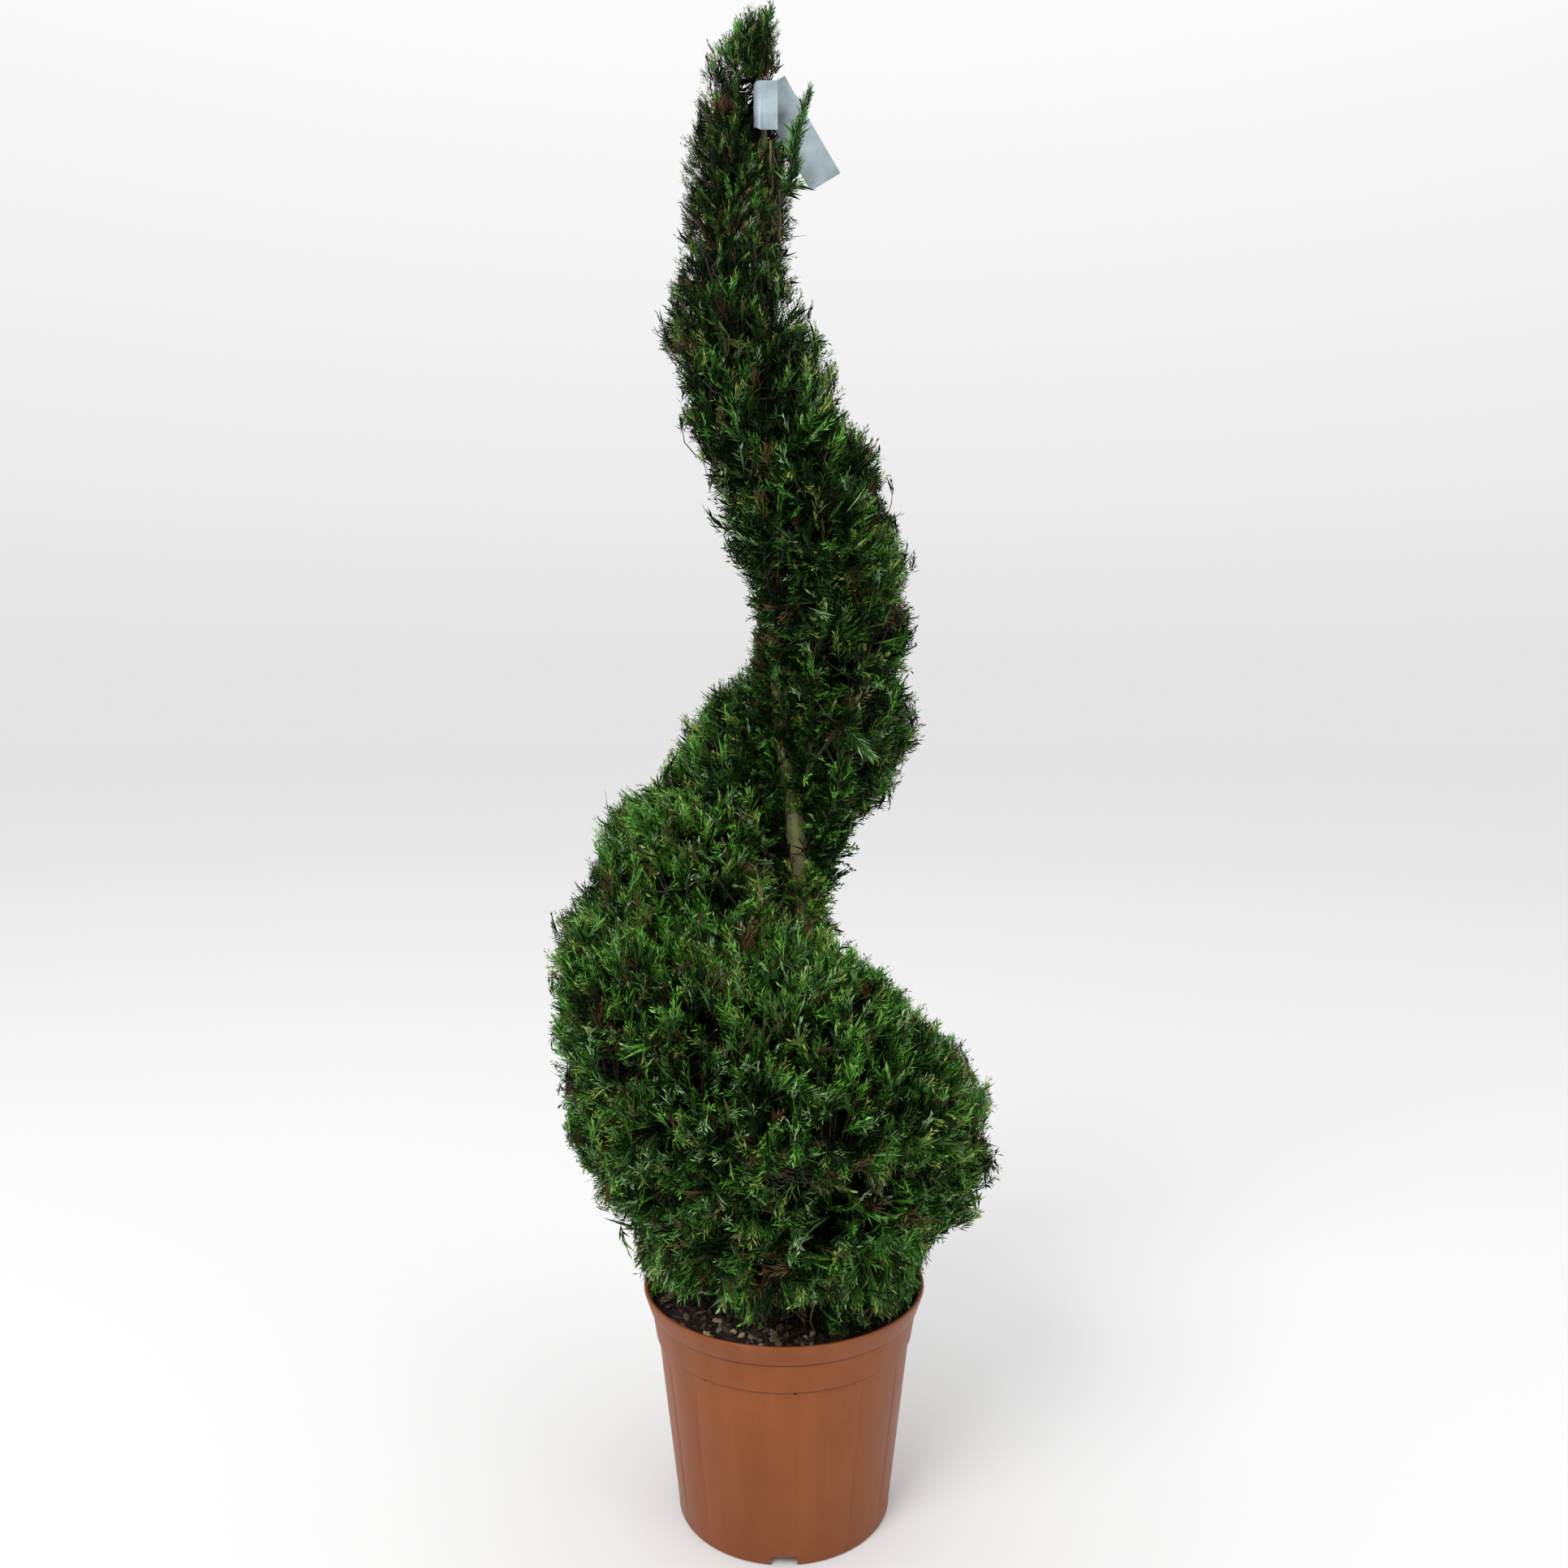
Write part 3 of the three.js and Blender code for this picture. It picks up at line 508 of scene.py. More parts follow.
def makePot():
    floorTop = pot["underside"] + pot["floor"]
    inFoot = pot["baseRadius"] - pot["footWidth"]
    collar = pot["bodyTopRadius"] + pot["collarStep"]
    collarTop = collar + (pot["rimRadius"] - collar) * 0.35
    corners = [
        (0, 0),
        (pot["bossRadius"], 0),
        (pot["bossRadius"] + 3, pot["underside"]),
        (inFoot - 2, pot["underside"]),
        (inFoot, 0),
        (pot["baseRadius"], 0),
        (pot["baseRadius"] + pot["corner"], pot["corner"]),
        (pot["bodyRadius"], pot["bodyFoot"]),
        (pot["bodyTopRadius"], pot["bodyTop"]),
        (collar, pot["bodyTop"] + 1),
        (collarTop, pot["lipBottom"]),
        (collarTop + pot["lipStep"], pot["lipBottom"] + 1),
        (pot["rimRadius"], pot["height"] - 2),
        (pot["rimRadius"] - 1.5, pot["height"]),
        (potInside(pot["height"]), pot["height"] - 1),
        (potInside(pot["bodyTop"]), pot["bodyTop"]),
        (potInside(floorTop + 6), floorTop + 6),
        (potInside(floorTop) - 6, floorTop),
        (0, floorTop),
    ]
    # a fine moulded groove runs under the collar and under the lip
    corners[11:11] = [(collarTop - pot["groove"], pot["lipBottom"] + 0.4)]
    corners[9:9] = [(pot["bodyTopRadius"] - pot["groove"], pot["bodyTop"] + 0.4)]
    # which of these corners are rounded, and how far from each its bow begins
    profile = roundedProfile(corners, {5: 0.9, 6: 1.2, 10: 0.6, 13: 0.7, 14: 2.2, 15: 1.2, 17: 6, 18: 4})
    dense = [profile[0]]
    for (r0, z0), (r1, z1) in zip(profile, profile[1:]):
        steps = max(1, math.ceil(math.hypot(r1 - r0, z1 - z0) / pot["profileStep"]))
        dense += [(r0 + (r1 - r0) * t / steps, z0 + (z1 - z0) * t / steps) for t in range(1, steps + 1)]
    dense = np.array(dense[1:-1])
    turn = 2 * np.pi * np.arange(pot["steps"]) / pot["steps"]
    r = np.repeat(dense[:, :1], pot["steps"], 1)
    z = np.repeat(dense[:, 1:], pot["steps"], 1)
    outside = (np.arange(len(dense)) < np.argmax(dense[:, 1]))[:, None] & (r > pot["bodyRadius"] - 1)
    fade = smooth((z - pot["ribStart"]) / pot["ribStart"]) * smooth((pot["bodyTop"] - pot["ribEnd"] - z) / 10)
    for start in pot["ribs"]:
        for third in range(3):
            offset = turnFrom(math.radians(start + 120 * third), turn)
            arc = np.abs(offset) * pot["bodyRadius"]
            r -= outside * fade * pot["ribDepth"] * np.exp(-((arc / pot["ribWidth"]) ** 2))[None, :]
    points = np.stack([r * np.cos(turn), r * np.sin(turn), z], -1).reshape(-1, 3)
    last = len(points)
    points = np.concatenate([points, [[0, 0, 0], [0, 0, floorTop]]])
    i = np.arange(pot["steps"])
    j = (i + 1) % pot["steps"]
    under = np.stack([np.full_like(i, last), j, i], -1)
    over = np.stack([np.full_like(i, last + 1), last - pot["steps"] + i, last - pot["steps"] + j], -1)
    material = potMaterial()
    piece = makePiece("pot_shell", points, [ringFaces(len(dense), pot["steps"]), under, over], [material])

    cutters = []
    faces = []
    cube = np.array([[0, 1, 3, 2], [4, 6, 7, 5], [0, 4, 5, 1], [2, 3, 7, 6], [0, 2, 6, 4], [1, 5, 7, 3]])
    for n in range(pot["notches"]):
        angle = 2 * np.pi * n / pot["notches"] - np.pi / 2
        reach = 1.5 * pot["footWidth"]
        box = boxPoints((pot["baseRadius"] - reach, -pot["notchWidth"] / 2, -pot["notchHeight"]),
                        (pot["baseRadius"] + reach, pot["notchWidth"] / 2, pot["notchHeight"]))
        faces.append(cube + 8 * n)
        cutters.append(np.stack([*spin(box[:, 0], box[:, 1], angle), box[:, 2]], -1))
    boxCutter = makePiece("notchCutter", np.concatenate(cutters), faces, [])
    drainPoints, drainQuads, drainCaps = [], [], []
    sides = 32
    ring = 2 * np.pi * np.arange(sides) / sides
    for n in range(pot["drains"]):
        middle = pot["drainCircle"] * levelWay(2 * np.pi * (n + 0.5) / pot["drains"])
        for height in (pot["underside"] - 4, floorTop + 4):
            drainPoints.append(middle + pot["drainRadius"] * levelWay(ring) + up * height)
        drainQuads.append(ringFaces(2, sides) + 2 * n * sides)
        drainCaps.append(endCaps(2, sides) + 2 * n * sides)
    drainCutter = makePiece("drainCutter", np.concatenate(drainPoints), drainQuads + drainCaps, [])
    for cutter in (boxCutter, drainCutter):
        cut = piece.modifiers.new("cut", "BOOLEAN")
        cut.operation = "DIFFERENCE"
        cut.solver = "EXACT"
        cut.object = cutter
    bpy.context.view_layer.update()
    made = bpy.data.meshes.new_from_object(piece.evaluated_get(bpy.context.evaluated_depsgraph_get()))
    piece.modifiers.clear()
    piece.data = made
    for cutter in (boxCutter, drainCutter):
        bpy.data.objects.remove(cutter)
    made.polygons.foreach_set("use_smooth", np.ones(len(made.polygons), bool))
    made.set_sharp_from_angle(angle=math.radians(pot["sharpOver"]))
    finishPiece(piece, "pot", "pot")


# the compost: peat and bark fines, loose and damp

compost = {
    "edgeDrop": 4,
    "gap": 0.9,
    "steps": 150,
    "rows": 56,
    "relief": 2.4,
    "waves": [(0.6, 24, 5), (0.4, 8, 6)],  # share, length and seed of its unevenness
    "lumps": [  # kind, number, sizes, form, and its first material with the one after its last
        ("crumb", 3000, (1.3, 3.2), (1, 0.8, 0.6), (0, 4)),
        ("chip", 900, (3.5, 8.5), (1, 0.45, 0.22), (1, 5)),
        ("stone", 34, (3, 5.5), (1, 0.8, 0.65), (5, 7)),
    ],
    "lumpUneven": (0.72, 1.2),
    "lumpTilt": 0.5,
    "lumpLift": 0.12,  # of its size, from the compost to its middle
    "stoneRing": (0.66, 0.95),  # the stones lie towards the front, where the photo shows them
    "stoneHeadings": (-150, -50),
    "frontStones": [(-40, -88), (-10, -90), (20, -92)],
    "dirt": [(-125, 178.8), (-85.4, 178.6)],  # crumbs caught under the pot's collar: heading and height
    "colours": ["#241912", "#38271b", "#523c29", "#171009", "#6f5a42"],
    "stoneColours": ["#ab9a76", "#7d7462"],
    "seed": 71,
}


def compostMaterials():
    # damp peat: near black and quite matt, with a grain of fibres and crumbs.
    # Grit and pale stones: dull, dusty mineral
    made = []
    for name, colours, roughness, grain in (
            ("dampPeatAndBark", compost["colours"], 0.92, (3.5, 6.0, 0.9, 0.0015, 0.7)),
            ("dustyGrit", compost["stoneColours"], 0.85, (2, 4.0, 0.5, 0.0008))):
        for n, colour in enumerate(colours):
            material, tree, shader = newMaterial(f"{name}{n + 1}", colour, roughness)
            addGrain(tree, shader, *grain)
            made.append(material)
    return made


def compostHeight(x, y):
    r = np.hypot(x, y)
    flatTo = 0.55 * pot["rimRadius"]
    edge = potInside(shape["compost"])
    height = shape["compost"] - compost["edgeDrop"] * smooth((r - flatTo) / (edge - flatTo))
    spots = np.stack([x, y, 0 * x], -1)
    rough = sum(share * softNoise(spots, length, seed) for share, length, seed in compost["waves"])
    return height + compost["relief"] * (rough - 0.8)


def lumpForms():
    # an octahedron for the crumbs, and one with its edges parted and rounded for the larger lumps
    corner = np.array([[1, 0, 0], [-1, 0, 0], [0, 1, 0], [0, -1, 0], [0, 0, 1], [0, 0, -1]], float)
    octa = np.array([[0, 2, 4], [2, 1, 4], [1, 3, 4], [3, 0, 4], [2, 0, 5], [1, 2, 5], [3, 1, 5], [0, 3, 5]])
    middle = {}
    fine, fineFaces = [tuple(c) for c in corner], []
    for a, b, c in octa:
        mids = []
        for p, q in ((a, b), (b, c), (c, a)):
            key = (min(p, q), max(p, q))
            if key not in middle:
                middle[key] = len(fine)
                fine.append(tuple(unit((corner[p] + corner[q]) / 2) * 0.93))
            mids.append(middle[key])
        fineFaces += [(a, mids[0], mids[2]), (b, mids[1], mids[0]), (c, mids[2], mids[1]), tuple(mids)]
    return (corner, octa), (np.array(fine), np.array(fineFaces))


def makeCompost():
    materials = compostMaterials()
    steps, rows = compost["steps"], compost["rows"]
    way = levelWay(2 * np.pi * np.arange(steps) / steps)
    floorTop = pot["underside"] + pot["floor"] + 0.4
    reach = potInside(shape["compost"] - compost["edgeDrop"]) - compost["gap"]
    top = (reach * np.linspace(1, 0.01, rows) ** 0.8)[:, None, None] * way
    top[..., 2] = compostHeight(top[..., 0], top[..., 1])
    walls = [r * way + up * z for r, z in ((potInside(floorTop) - 7, floorTop),
                                           (potInside(floorTop + 7) - compost["gap"], floorTop + 7),
                                           (potInside(pot["bodyTop"]) - compost["gap"], pot["bodyTop"]))]
    points = np.concatenate([np.array(walls).reshape(-1, 3), top.reshape(-1, 3)])
    faces = [ringFaces(len(walls) + rows, steps), endCaps(len(walls) + rows, steps)]
    body = makePiece("compost_bed", points, faces, materials[:1], sharpOver=50)
    finishPiece(body, "compost", "compost")

    # crumbs, bark chips and a few pale stones
    rng = np.random.default_rng(compost["seed"])
    coarse, fine = lumpForms()
    points, faces, dealt = [], [], []
    start = 0
    for kind, number, sizes, form, tones in compost["lumps"]:
        mesh, meshFaces = coarse if kind == "crumb" else fine
        r = reach * np.sqrt(rng.random(number)) * 0.985
        angle = 2 * np.pi * rng.random(number)
        if kind == "stone":
            r = reach * rng.uniform(*compost["stoneRing"], number)
            angle = np.radians(rng.uniform(*compost["stoneHeadings"], number))
        at = np.stack([r * np.cos(angle), r * np.sin(angle)], -1)
        if kind == "stone":
            at[:len(compost["frontStones"])] = compost["frontStones"]
        size = rng.uniform(*sizes, number)
        turnBy = rng.uniform(0, 2 * np.pi, number)[:, None]
        tilt = rng.uniform(-compost["lumpTilt"], compost["lumpTilt"], (number, 2))
        height = compostHeight(at[:, 0], at[:, 1]) + compost["lumpLift"] * size
        uneven = rng.uniform(*compost["lumpUneven"], (number, len(mesh), 1))
        lump = mesh[None] * np.array(form) * size[:, None, None] * uneven
        x, y = spin(lump[..., 0], lump[..., 1], turnBy)
        z = lump[..., 2] + tilt[:, :1] * x + tilt[:, 1:] * y
        inside = np.hypot(x + at[:, :1], y + at[:, 1:]).max(1) < reach - 0.4
        lumps = np.stack([x + at[:, :1], y + at[:, 1:], z + height[:, None]], -1)[inside]
        points.append(lumps.reshape(-1, 3))
        offsets = start + np.arange(len(lumps)) * len(mesh)
        faces.append((meshFaces[None] + offsets[:, None, None]).reshape(-1, 3))
        dealt.append(np.repeat(rng.integers(*tones, len(lumps)), len(meshFaces)))
        start += len(lumps) * len(mesh)
    mesh, meshFaces = fine
    for angle, height in compost["dirt"]:
        way = levelWay(math.radians(angle))
        points.append(mesh * (1.6, 1.2, 0.9) + way * (pot["bodyTopRadius"] + 0.4) + up * height)
        faces.append(meshFaces + start)
        dealt.append(np.full(len(meshFaces), 3))
        start += len(mesh)
    piece = makePiece("compost_crumbs", np.concatenate(points), faces, materials, np.concatenate(dealt))
    finishPiece(piece, "compost")


# trunk and boughs: young bark

def barkMaterial(name, base, dark, pale, moss):
    # young conifer bark: thin, matt and olive-tan, with fine upright cracks, dark specks and green film
    material, tree, shader = newMaterial(name, base, 0.82)
    place = addNode(tree, "ShaderNodeTexCoord").outputs["Object"]
    grain = addNode(tree, "ShaderNodeMapping", {"Scale": (1, 1, 0.16)}, {"Vector": place})
    cracks = addNode(tree, "ShaderNodeTexNoise", {"Scale": perMetre(4.2), "Detail": 6.0, "Roughness": 0.75},
                     {"Vector": grain.outputs[0]})
    clouds = addNode(tree, "ShaderNodeTexNoise", {"Scale": perMetre(14), "Detail": 5.0}, {"Vector": place})
    specks = addNode(tree, "ShaderNodeTexVoronoi", {"Scale": perMetre(9)}, {"Vector": place})
    film = addNode(tree, "ShaderNodeTexNoise", {"Scale": perMetre(38), "Detail": 5.0, "Roughness": 0.6},
                   {"Vector": place})
    colour = addLayer(tree, base, pale, clouds.outputs["Fac"], 0.42, 0.62)
    colour = addLayer(tree, colour, dark, cracks.outputs["Fac"], 0.5, 0.33, 0.9)
    colour = addLayer(tree, colour, "#1d150d", specks.outputs["Distance"], 0.26, 0.16, 0.85)
    colour = addLayer(tree, colour, moss, film.outputs["Fac"], 0.4, 0.62, 0.8)
    tree.links.new(colour, shader.inputs["Base Color"])
    bump = addNode(tree, "ShaderNodeBump", {"Strength": 0.9, "Distance": 0.0014},
                   {"Height": cracks.outputs["Fac"]})
    tree.links.new(bump.outputs[0], shader.inputs["Normal"])
    return material


def makeTrunk(material):
    rng = np.random.default_rng(trunk["seed"])
    sides = trunk["sides"]
    rings = int((trunk["top"] - shape["compost"]) / trunk["ringHeight"])
    z = np.linspace(shape["compost"] + 0.3, trunk["top"], rings)
    turn = 2 * np.pi * np.arange(sides) / sides
    centre = trunkCentre(z)
    radius = np.repeat(trunkRadius(z)[:, None], sides, 1)
    way = levelWay(turn)
    grain = (centre[:, None] + radius[..., None] * way) * np.array([1, 1, trunk["furrowStretch"]])
    relief = sum(share * softNoise(grain, breadth, seed) for share, breadth, seed in trunk["furrowWaves"])
    fall = np.exp(-(z - shape["compost"]) / trunk["buttressHeight"])
    buttress = trunk["buttressDepth"] * np.cos(trunk["buttresses"] * turn + 0.7)[None, :] * fall[:, None]
    radius = radius * (0.975 + trunk["furrow"] * np.clip(relief, -1, 0.6)) + buttress
    for _ in range(trunk["knots"]):  # stubs of clipped twigs stand a little out of the bark
        height, angle = rng.uniform(*trunk["knotHeights"]), rng.uniform(0, 2 * np.pi)
        size = rng.uniform(*trunk["knotSize"]) * trunkRadius(height) + 0.8
        offset = turnFrom(angle, turn) * trunkRadius(height)
        far = np.hypot(offset[None, :], (z - height)[:, None])
        radius += rng.uniform(*trunk["knotDepth"]) * size * np.exp(-((far / size) ** 2))
    points = (centre[:, None] + radius[..., None] * way).reshape(-1, 3)
    faces = [ringFaces(rings, sides), endCaps(rings, sides)]
    finishPiece(makePiece("trunk_bark", points, faces, [material], sharpOver=60), "bark", "trunk")


boughs = {
    # height, heading in degrees, rise in degrees and reach of the limbs that cross the groove
    "named": [(646, -25, 52, 120), (688, -60, 64, 170), (742, -100, 72, 150), (842, 122, 55, 130),
              (905, 186, 60, 130), (1040, 98, 58, 120)],
    "nodes": ["bough_01_right", "bough_02_front", "bough_03_front", "bough_04_back_left", "bough_05_left",
              "bough_06_back"],
    "steps": 9,
    "thickness": 0.34,  # of the trunk's where it leaves
    "turnUp": 0.25,  # radians over its length
    "hidden": 84,
    "hiddenHeights": (228, 1310),
    "hiddenReach": (230, 18, 12),  # the longest, the shortest, and how much shorter each try is
    "hiddenClear": 16,  # how deep they stay inside the clipped face
    "headings": (175, 52),  # how far either way they head from the ramp's middle, in the foot and above
    "lateralsEach": 6,
    "lateralReach": (35, 85),
    "lateralRise": 14,
    "lateralClear": (8, 2),  # of the clipped face and of the trunk
    "lateralLowest": 224,
    "seed": 33,
}
twigs = {
    "share": 0.2,  # of the sprays that get a twig of their own down to a bough
    "reachBack": 24,
    "reachDown": 10,
    "reachIn": 5,  # how far into its spray a twig goes on
    "radius": (0.45, 1.0),
    "furthest": 95,
    "lowest": 218,
}


def boughPath(height, angle, rise, reach):
    far = reach * np.linspace(0, 1, boughs["steps"])
    climb = math.radians(rise) + boughs["turnUp"] * np.linspace(0, 1, boughs["steps"])
    heading = math.radians(angle)
    step = np.stack([far * np.cos(climb) * math.cos(heading), far * np.cos(climb) * math.sin(heading),
                     far * np.sin(climb)], -1)
    return trunkCentre(height) + step


def growBoughs():
    # the named limbs first, then those that the foliage hides, each kept inside the clipped face
    rng = np.random.default_rng(boughs["seed"])
    paths, radii = [], []
    taper = np.linspace(1.15, 0.5, boughs["steps"])
    for height, angle, rise, reach in boughs["named"]:
        paths.append(boughPath(height, angle, rise, reach))
        radii.append(trunkRadius(height) * boughs["thickness"] * taper)
    longest, shortest, less = boughs["hiddenReach"]
    for height in np.linspace(*boughs["hiddenHeights"], boughs["hidden"]):
        spread = boughs["headings"][0 if height < shape["foot"][1] else 1]
        angle = float(along(shape["facing"], height)) + rng.uniform(-spread, spread)
        rise = rng.uniform(8, 35) if height < 300 else rng.uniform(24, 50)
        for reach in range(longest, shortest, -less):
            path = boughPath(height, angle, rise, reach)
            if depthInside(path[3:]).min() > boughs["hiddenClear"]:
                paths.append(path)
                radii.append(trunkRadius(height) * rng.uniform(0.12, 0.24) * taper + 0.4)
                break
    s = np.linspace(0, 1, boughs["steps"])[:, None]
    inFace, offTrunk = boughs["lateralClear"]
    for n in range(len(paths)):
        for _ in range(boughs["lateralsEach"]):
            k = rng.integers(2, boughs["steps"])
            base, heading = paths[n][k], unit(paths[n][k] - paths[n][k - 1])
            way = unit(heading + unit(rng.normal(size=3)) * 0.9 + 0.3 * up)
            path = base + way * rng.uniform(*boughs["lateralReach"]) * s + up * boughs["lateralRise"] * s ** 2
            clear = depthInside(path).min() > inFace and trunkGap(path).min() > offTrunk
            if clear and path[:, 2].min() > boughs["lateralLowest"]:
                paths.append(path)
                radii.append(np.minimum(radii[n][k] * 0.6, 2.0) * np.linspace(1, 0.45, boughs["steps"]))
    return np.array(paths), np.array(radii)


# foliage: flat sprays of scale leaves

foliage = {
    "seed": 20417,
    "spacing": 7.15,  # between neighbouring sprays on the clipped face
    "length": (22, 38),
    "proud": -3.5,  # the mean of the outermost fingers over the clipped face
    "lobes": 6.5,  # how far whole clumps swell out or draw back
    "tufts": 5.5,  # and the small tufts on them
    "ragged": 4.2,
    "hollowDepth": 20,
    "raggedLimits": (-9, 8),
    "sway": 0.48,
    "shortest": 10,
    "forms": 12,
    "fingers": 11,
    "fingerLength": 0.45,
    "fingerWidth": 0.028,
    "spread": 40,
    "hem": (231, 28, -113, 48),  # the skirt's lowest tips, how much higher at the front, where, how broad
    "droop": (330, 90),  # below this height the sprays hang, fully so this much lower
    "sowFrom": 218,
    "sowSteps": (180, 4.0),  # how many places round, and how far apart in height
    "finer": (1180, 120, 0.9),  # the thin upper coils are clipped finely: from where, over what, how much
    # wavelength and seed of the unevenness of each kind
    "lobeWaves": (95, 45),
    "tuftWaves": (40, 47),
    "hollowWaves": (46, 44),
    "patchWaves": (66, 41),
    "fineWaves": (26, 42),
    "bronzeWaves": (40, 46),
    "dryWaves": (58, 43),
    "tone": (0.52, 0.24),  # mean and scatter; 0 is deep shade and 1 fresh growth
    "toneAtHeight": [(960, 80, -0.09), (1425, 40, 0.4), (740, 140, -0.15)],  # from where, over what, how much
    # how much the tone rises in the brighter places listed below
    "fresh": 0.22,
    "trunkShade": (34, 24, -0.5),  # from this near to the trunk, over this much, the tone changes by this
    "toneSteps": [0.22, 0.47, 0.72],  # between deep shade, dark, green and fresh
    "yellowShare": 0.11,
    "greyFrom": 0.86,
    "innerSpacing": 14,
    "innerDepth": (11, 50),
    "innerLength": (44, 70),
    "innerSway": 0.5,
    "innerShortest": 16,
    "innerForms": 4,
    "innerFingers": 8,
    "innerFingerWidth": 0.065,
    "innerClear": 8,  # how deep their roots and tips lie at least
    "innerBehind": (6, 4, 20),  # how far behind the face, the clumps and the skirt's lower edge they end
    "innerToneSteps": [0.62, 0.97],
    "innerTones": [8, 0, 6],
}
leafTones = [  # name, colour, roughness, specular level
    ("scaleLeafDeepShade", "#0e1f07", 0.6, 0.1),
    ("scaleLeafDark", "#20430f", 0.5, 0.25),
    ("scaleLeafGreen", "#3e701f", 0.46, 0.3),
    ("scaleLeafFresh", "#66a43e", 0.42, 0.4),
    ("scaleLeafYellowGreen", "#8a9a48", 0.45, 0.35),
    ("scaleLeafGreyGreen", "#80a26e", 0.5, 0.4),
    ("dryScaleLeafBrown", "#513a24", 0.75, 0.2),
    ("dryScaleLeafTan", "#86754f", 0.75, 0.2),
    # near black, for the sprays inside the masses: dead leaves darkened into painted shade, so that the gaps
    # between the outer sprays stay dark
    ("innerDeadLeafPaintedShade", "#0f0b06", 0.9, 0.05),
    ("scaleLeafBronzed", "#4b5127", 0.6, 0.2),
]
brighterPatches = [  # sideways, back, height and size of the places where the sprays are dealt brighter tones
    (-150, -60, 690, 95), (-110, -20, 600, 60), (100, -40, 935, 42), (118, -20, 850, 34),
    (-96, -20, 1150, 36), (-20, -60, 1245, 26), (-60, -190, 420, 50), (110, -150, 330, 55),
]
deadPatches = [  # sideways, back, height and size of the places where sprays have died
    (-67, -20, 1385, 22), (-20, -14, 1422, 16), (-205, -20, 515, 30), (-30, -190, 328, 22),
    (84, -60, 805, 22), (-66, 20, 1180, 24), (60, 40, 1120, 20), (120, 150, 470, 34),
    (-150, 120, 380, 30), (40, 130, 900, 26), (30, -180, 560, 16), (-90, -190, 610, 20),
    (-26, -118, 285, 17), (-69, -100, 262, 17), (56, -118, 272, 17),
]


def leafMaterials():
    # scale leaves of a thuja: a waxy skin in small overlapping scales, so a broken gloss on flat fingers
    made = []
    for name, colour, roughness, specular in leafTones:
        material, tree, shader = newMaterial(name, colour, roughness, 1.45)
        shader.inputs["Specular IOR Level"].default_value = specular
        place = addNode(tree, "ShaderNodeTexCoord").outputs["Object"]
        scales = addNode(tree, "ShaderNodeTexVoronoi", {"Scale": perMetre(1.8)}, {"Vector": place})
        bump = addNode(tree, "ShaderNodeBump", {"Strength": 0.4, "Distance": 0.0004},
                       {"Height": scales.outputs["Distance"]})
        tree.links.new(bump.outputs[0], shader.inputs["Normal"])
        made.append(material)
    return made


def sprayForm(rng, fingers, second, width):
    # one spray in its own plane, of length 1 along x: an axis with fingers on both sides,
    # and smaller fingers on those. Each is a lance-shaped leaf of two faces, folded along its middle.
    points, faces = [], []

    def blade(x, y, turn, length, wide):
        first = len(points)
        cos, sin = math.cos(turn), math.sin(turn)
        midX, midY = x + 0.55 * length * cos, y + 0.55 * length * sin
        twist, bow = rng.uniform(-1.1, 1.1) * wide, rng.normal(0, 0.24) * length
        low = 0.3 * bow - 0.3 * wide
        points.extend([(x, y, 0), (midX - sin * wide / 2, midY + cos * wide / 2, low + twist),
                       (x + length * cos, y + length * sin, bow),
                       (midX + sin * wide / 2, midY - cos * wide / 2, low - twist)])
        faces.extend([(first, first + 2, first + 1), (first, first + 3, first + 2)])

    blade(0, 0, 0, 1, width * 0.9)
    for k in range(fingers):
        share = k / (fingers - 1)
        side = 1 if k % 2 else -1
        x = 0.1 + 0.78 * share
        turn = side * math.radians(foliage["spread"] - 16 * share + rng.uniform(-15, 15))
        length = foliage["fingerLength"] * (1 - 0.55 * share) * rng.uniform(0.65, 1.2)
        blade(x, 0, turn, length, width)
        for m in range(second if share < 0.8 else 0):
            at = length * (0.3 + 0.32 * m)
            branch = turn + (1 if m % 2 == (k % 2) else -1) * math.radians(rng.uniform(22, 40))
            shorter = length * (0.58 - 0.12 * m)
            blade(x + at * math.cos(turn), at * math.sin(turn), branch, shorter, width * 0.8)
    return np.array(points), np.array(faces)


def spraysFrom(form, root, heading, flat, length, width, curl, lift):
    # the form's points at every place at once
    points, _ = form
    across = np.cross(flat, heading)
    x, y, z = (points[None, :, i, None] for i in range(3))
    bow = curl[:, None, None] * (x ** 2 + 0.8 * y ** 2)
    size = length[:, None, None]
    made = root[:, None] + size * x * heading[:, None] + size * width[:, None, None] * y * across[:, None]
    made += size * (z + bow) * flat[:, None] + size * lift[:, None, None] * x ** 2 * up
    return made


def sprayGroup(forms, which, tones, args, mass=None):
    # sprays that share some forms, with what spraysFrom takes; without masses they are one set
    mass = np.zeros(len(which), int) if mass is None else mass
    return {"forms": forms, "which": which, "tones": tones, "args": args, "mass": mass}


def sow(rng, spacing):
    # places spread evenly over the clipped face, as angle and height
    steps, stepZ = foliage["sowSteps"]
    stepA = 2 * np.pi / steps
    heights = np.arange(foliage["sowFrom"], shape["top"] - 4, stepZ)
    angle, z = np.meshgrid(np.arange(0, 2 * np.pi, stepA), heights)
    angle, z = angle.ravel(), z.ravel()
    round_ = facePoint(angle + 0.01, z) - facePoint(angle - 0.01, z)
    rise = facePoint(angle, z + 1) - facePoint(angle, z - 1)
    area = np.linalg.norm(np.cross(round_, rise), axis=-1) / 0.02 / 2 * stepA * stepZ
    start, span, more = foliage["finer"]
    area *= 1 + more * smooth((z - start) / span)
    number = np.floor(area / spacing ** 2 + rng.random(len(area))).astype(int)
    take = np.repeat(np.arange(len(area)), number)
    return angle[take] + stepA * rng.random(len(take)), z[take] + stepZ * rng.random(len(take))


def wayOut(angle, z):
    # square to the clipped face and away from it
    level = facePoint(angle + 0.02, z) - facePoint(angle - 0.02, z)
    rise = facePoint(angle, z + 2) - facePoint(angle, z - 2)
    return unit(np.cross(level, rise))


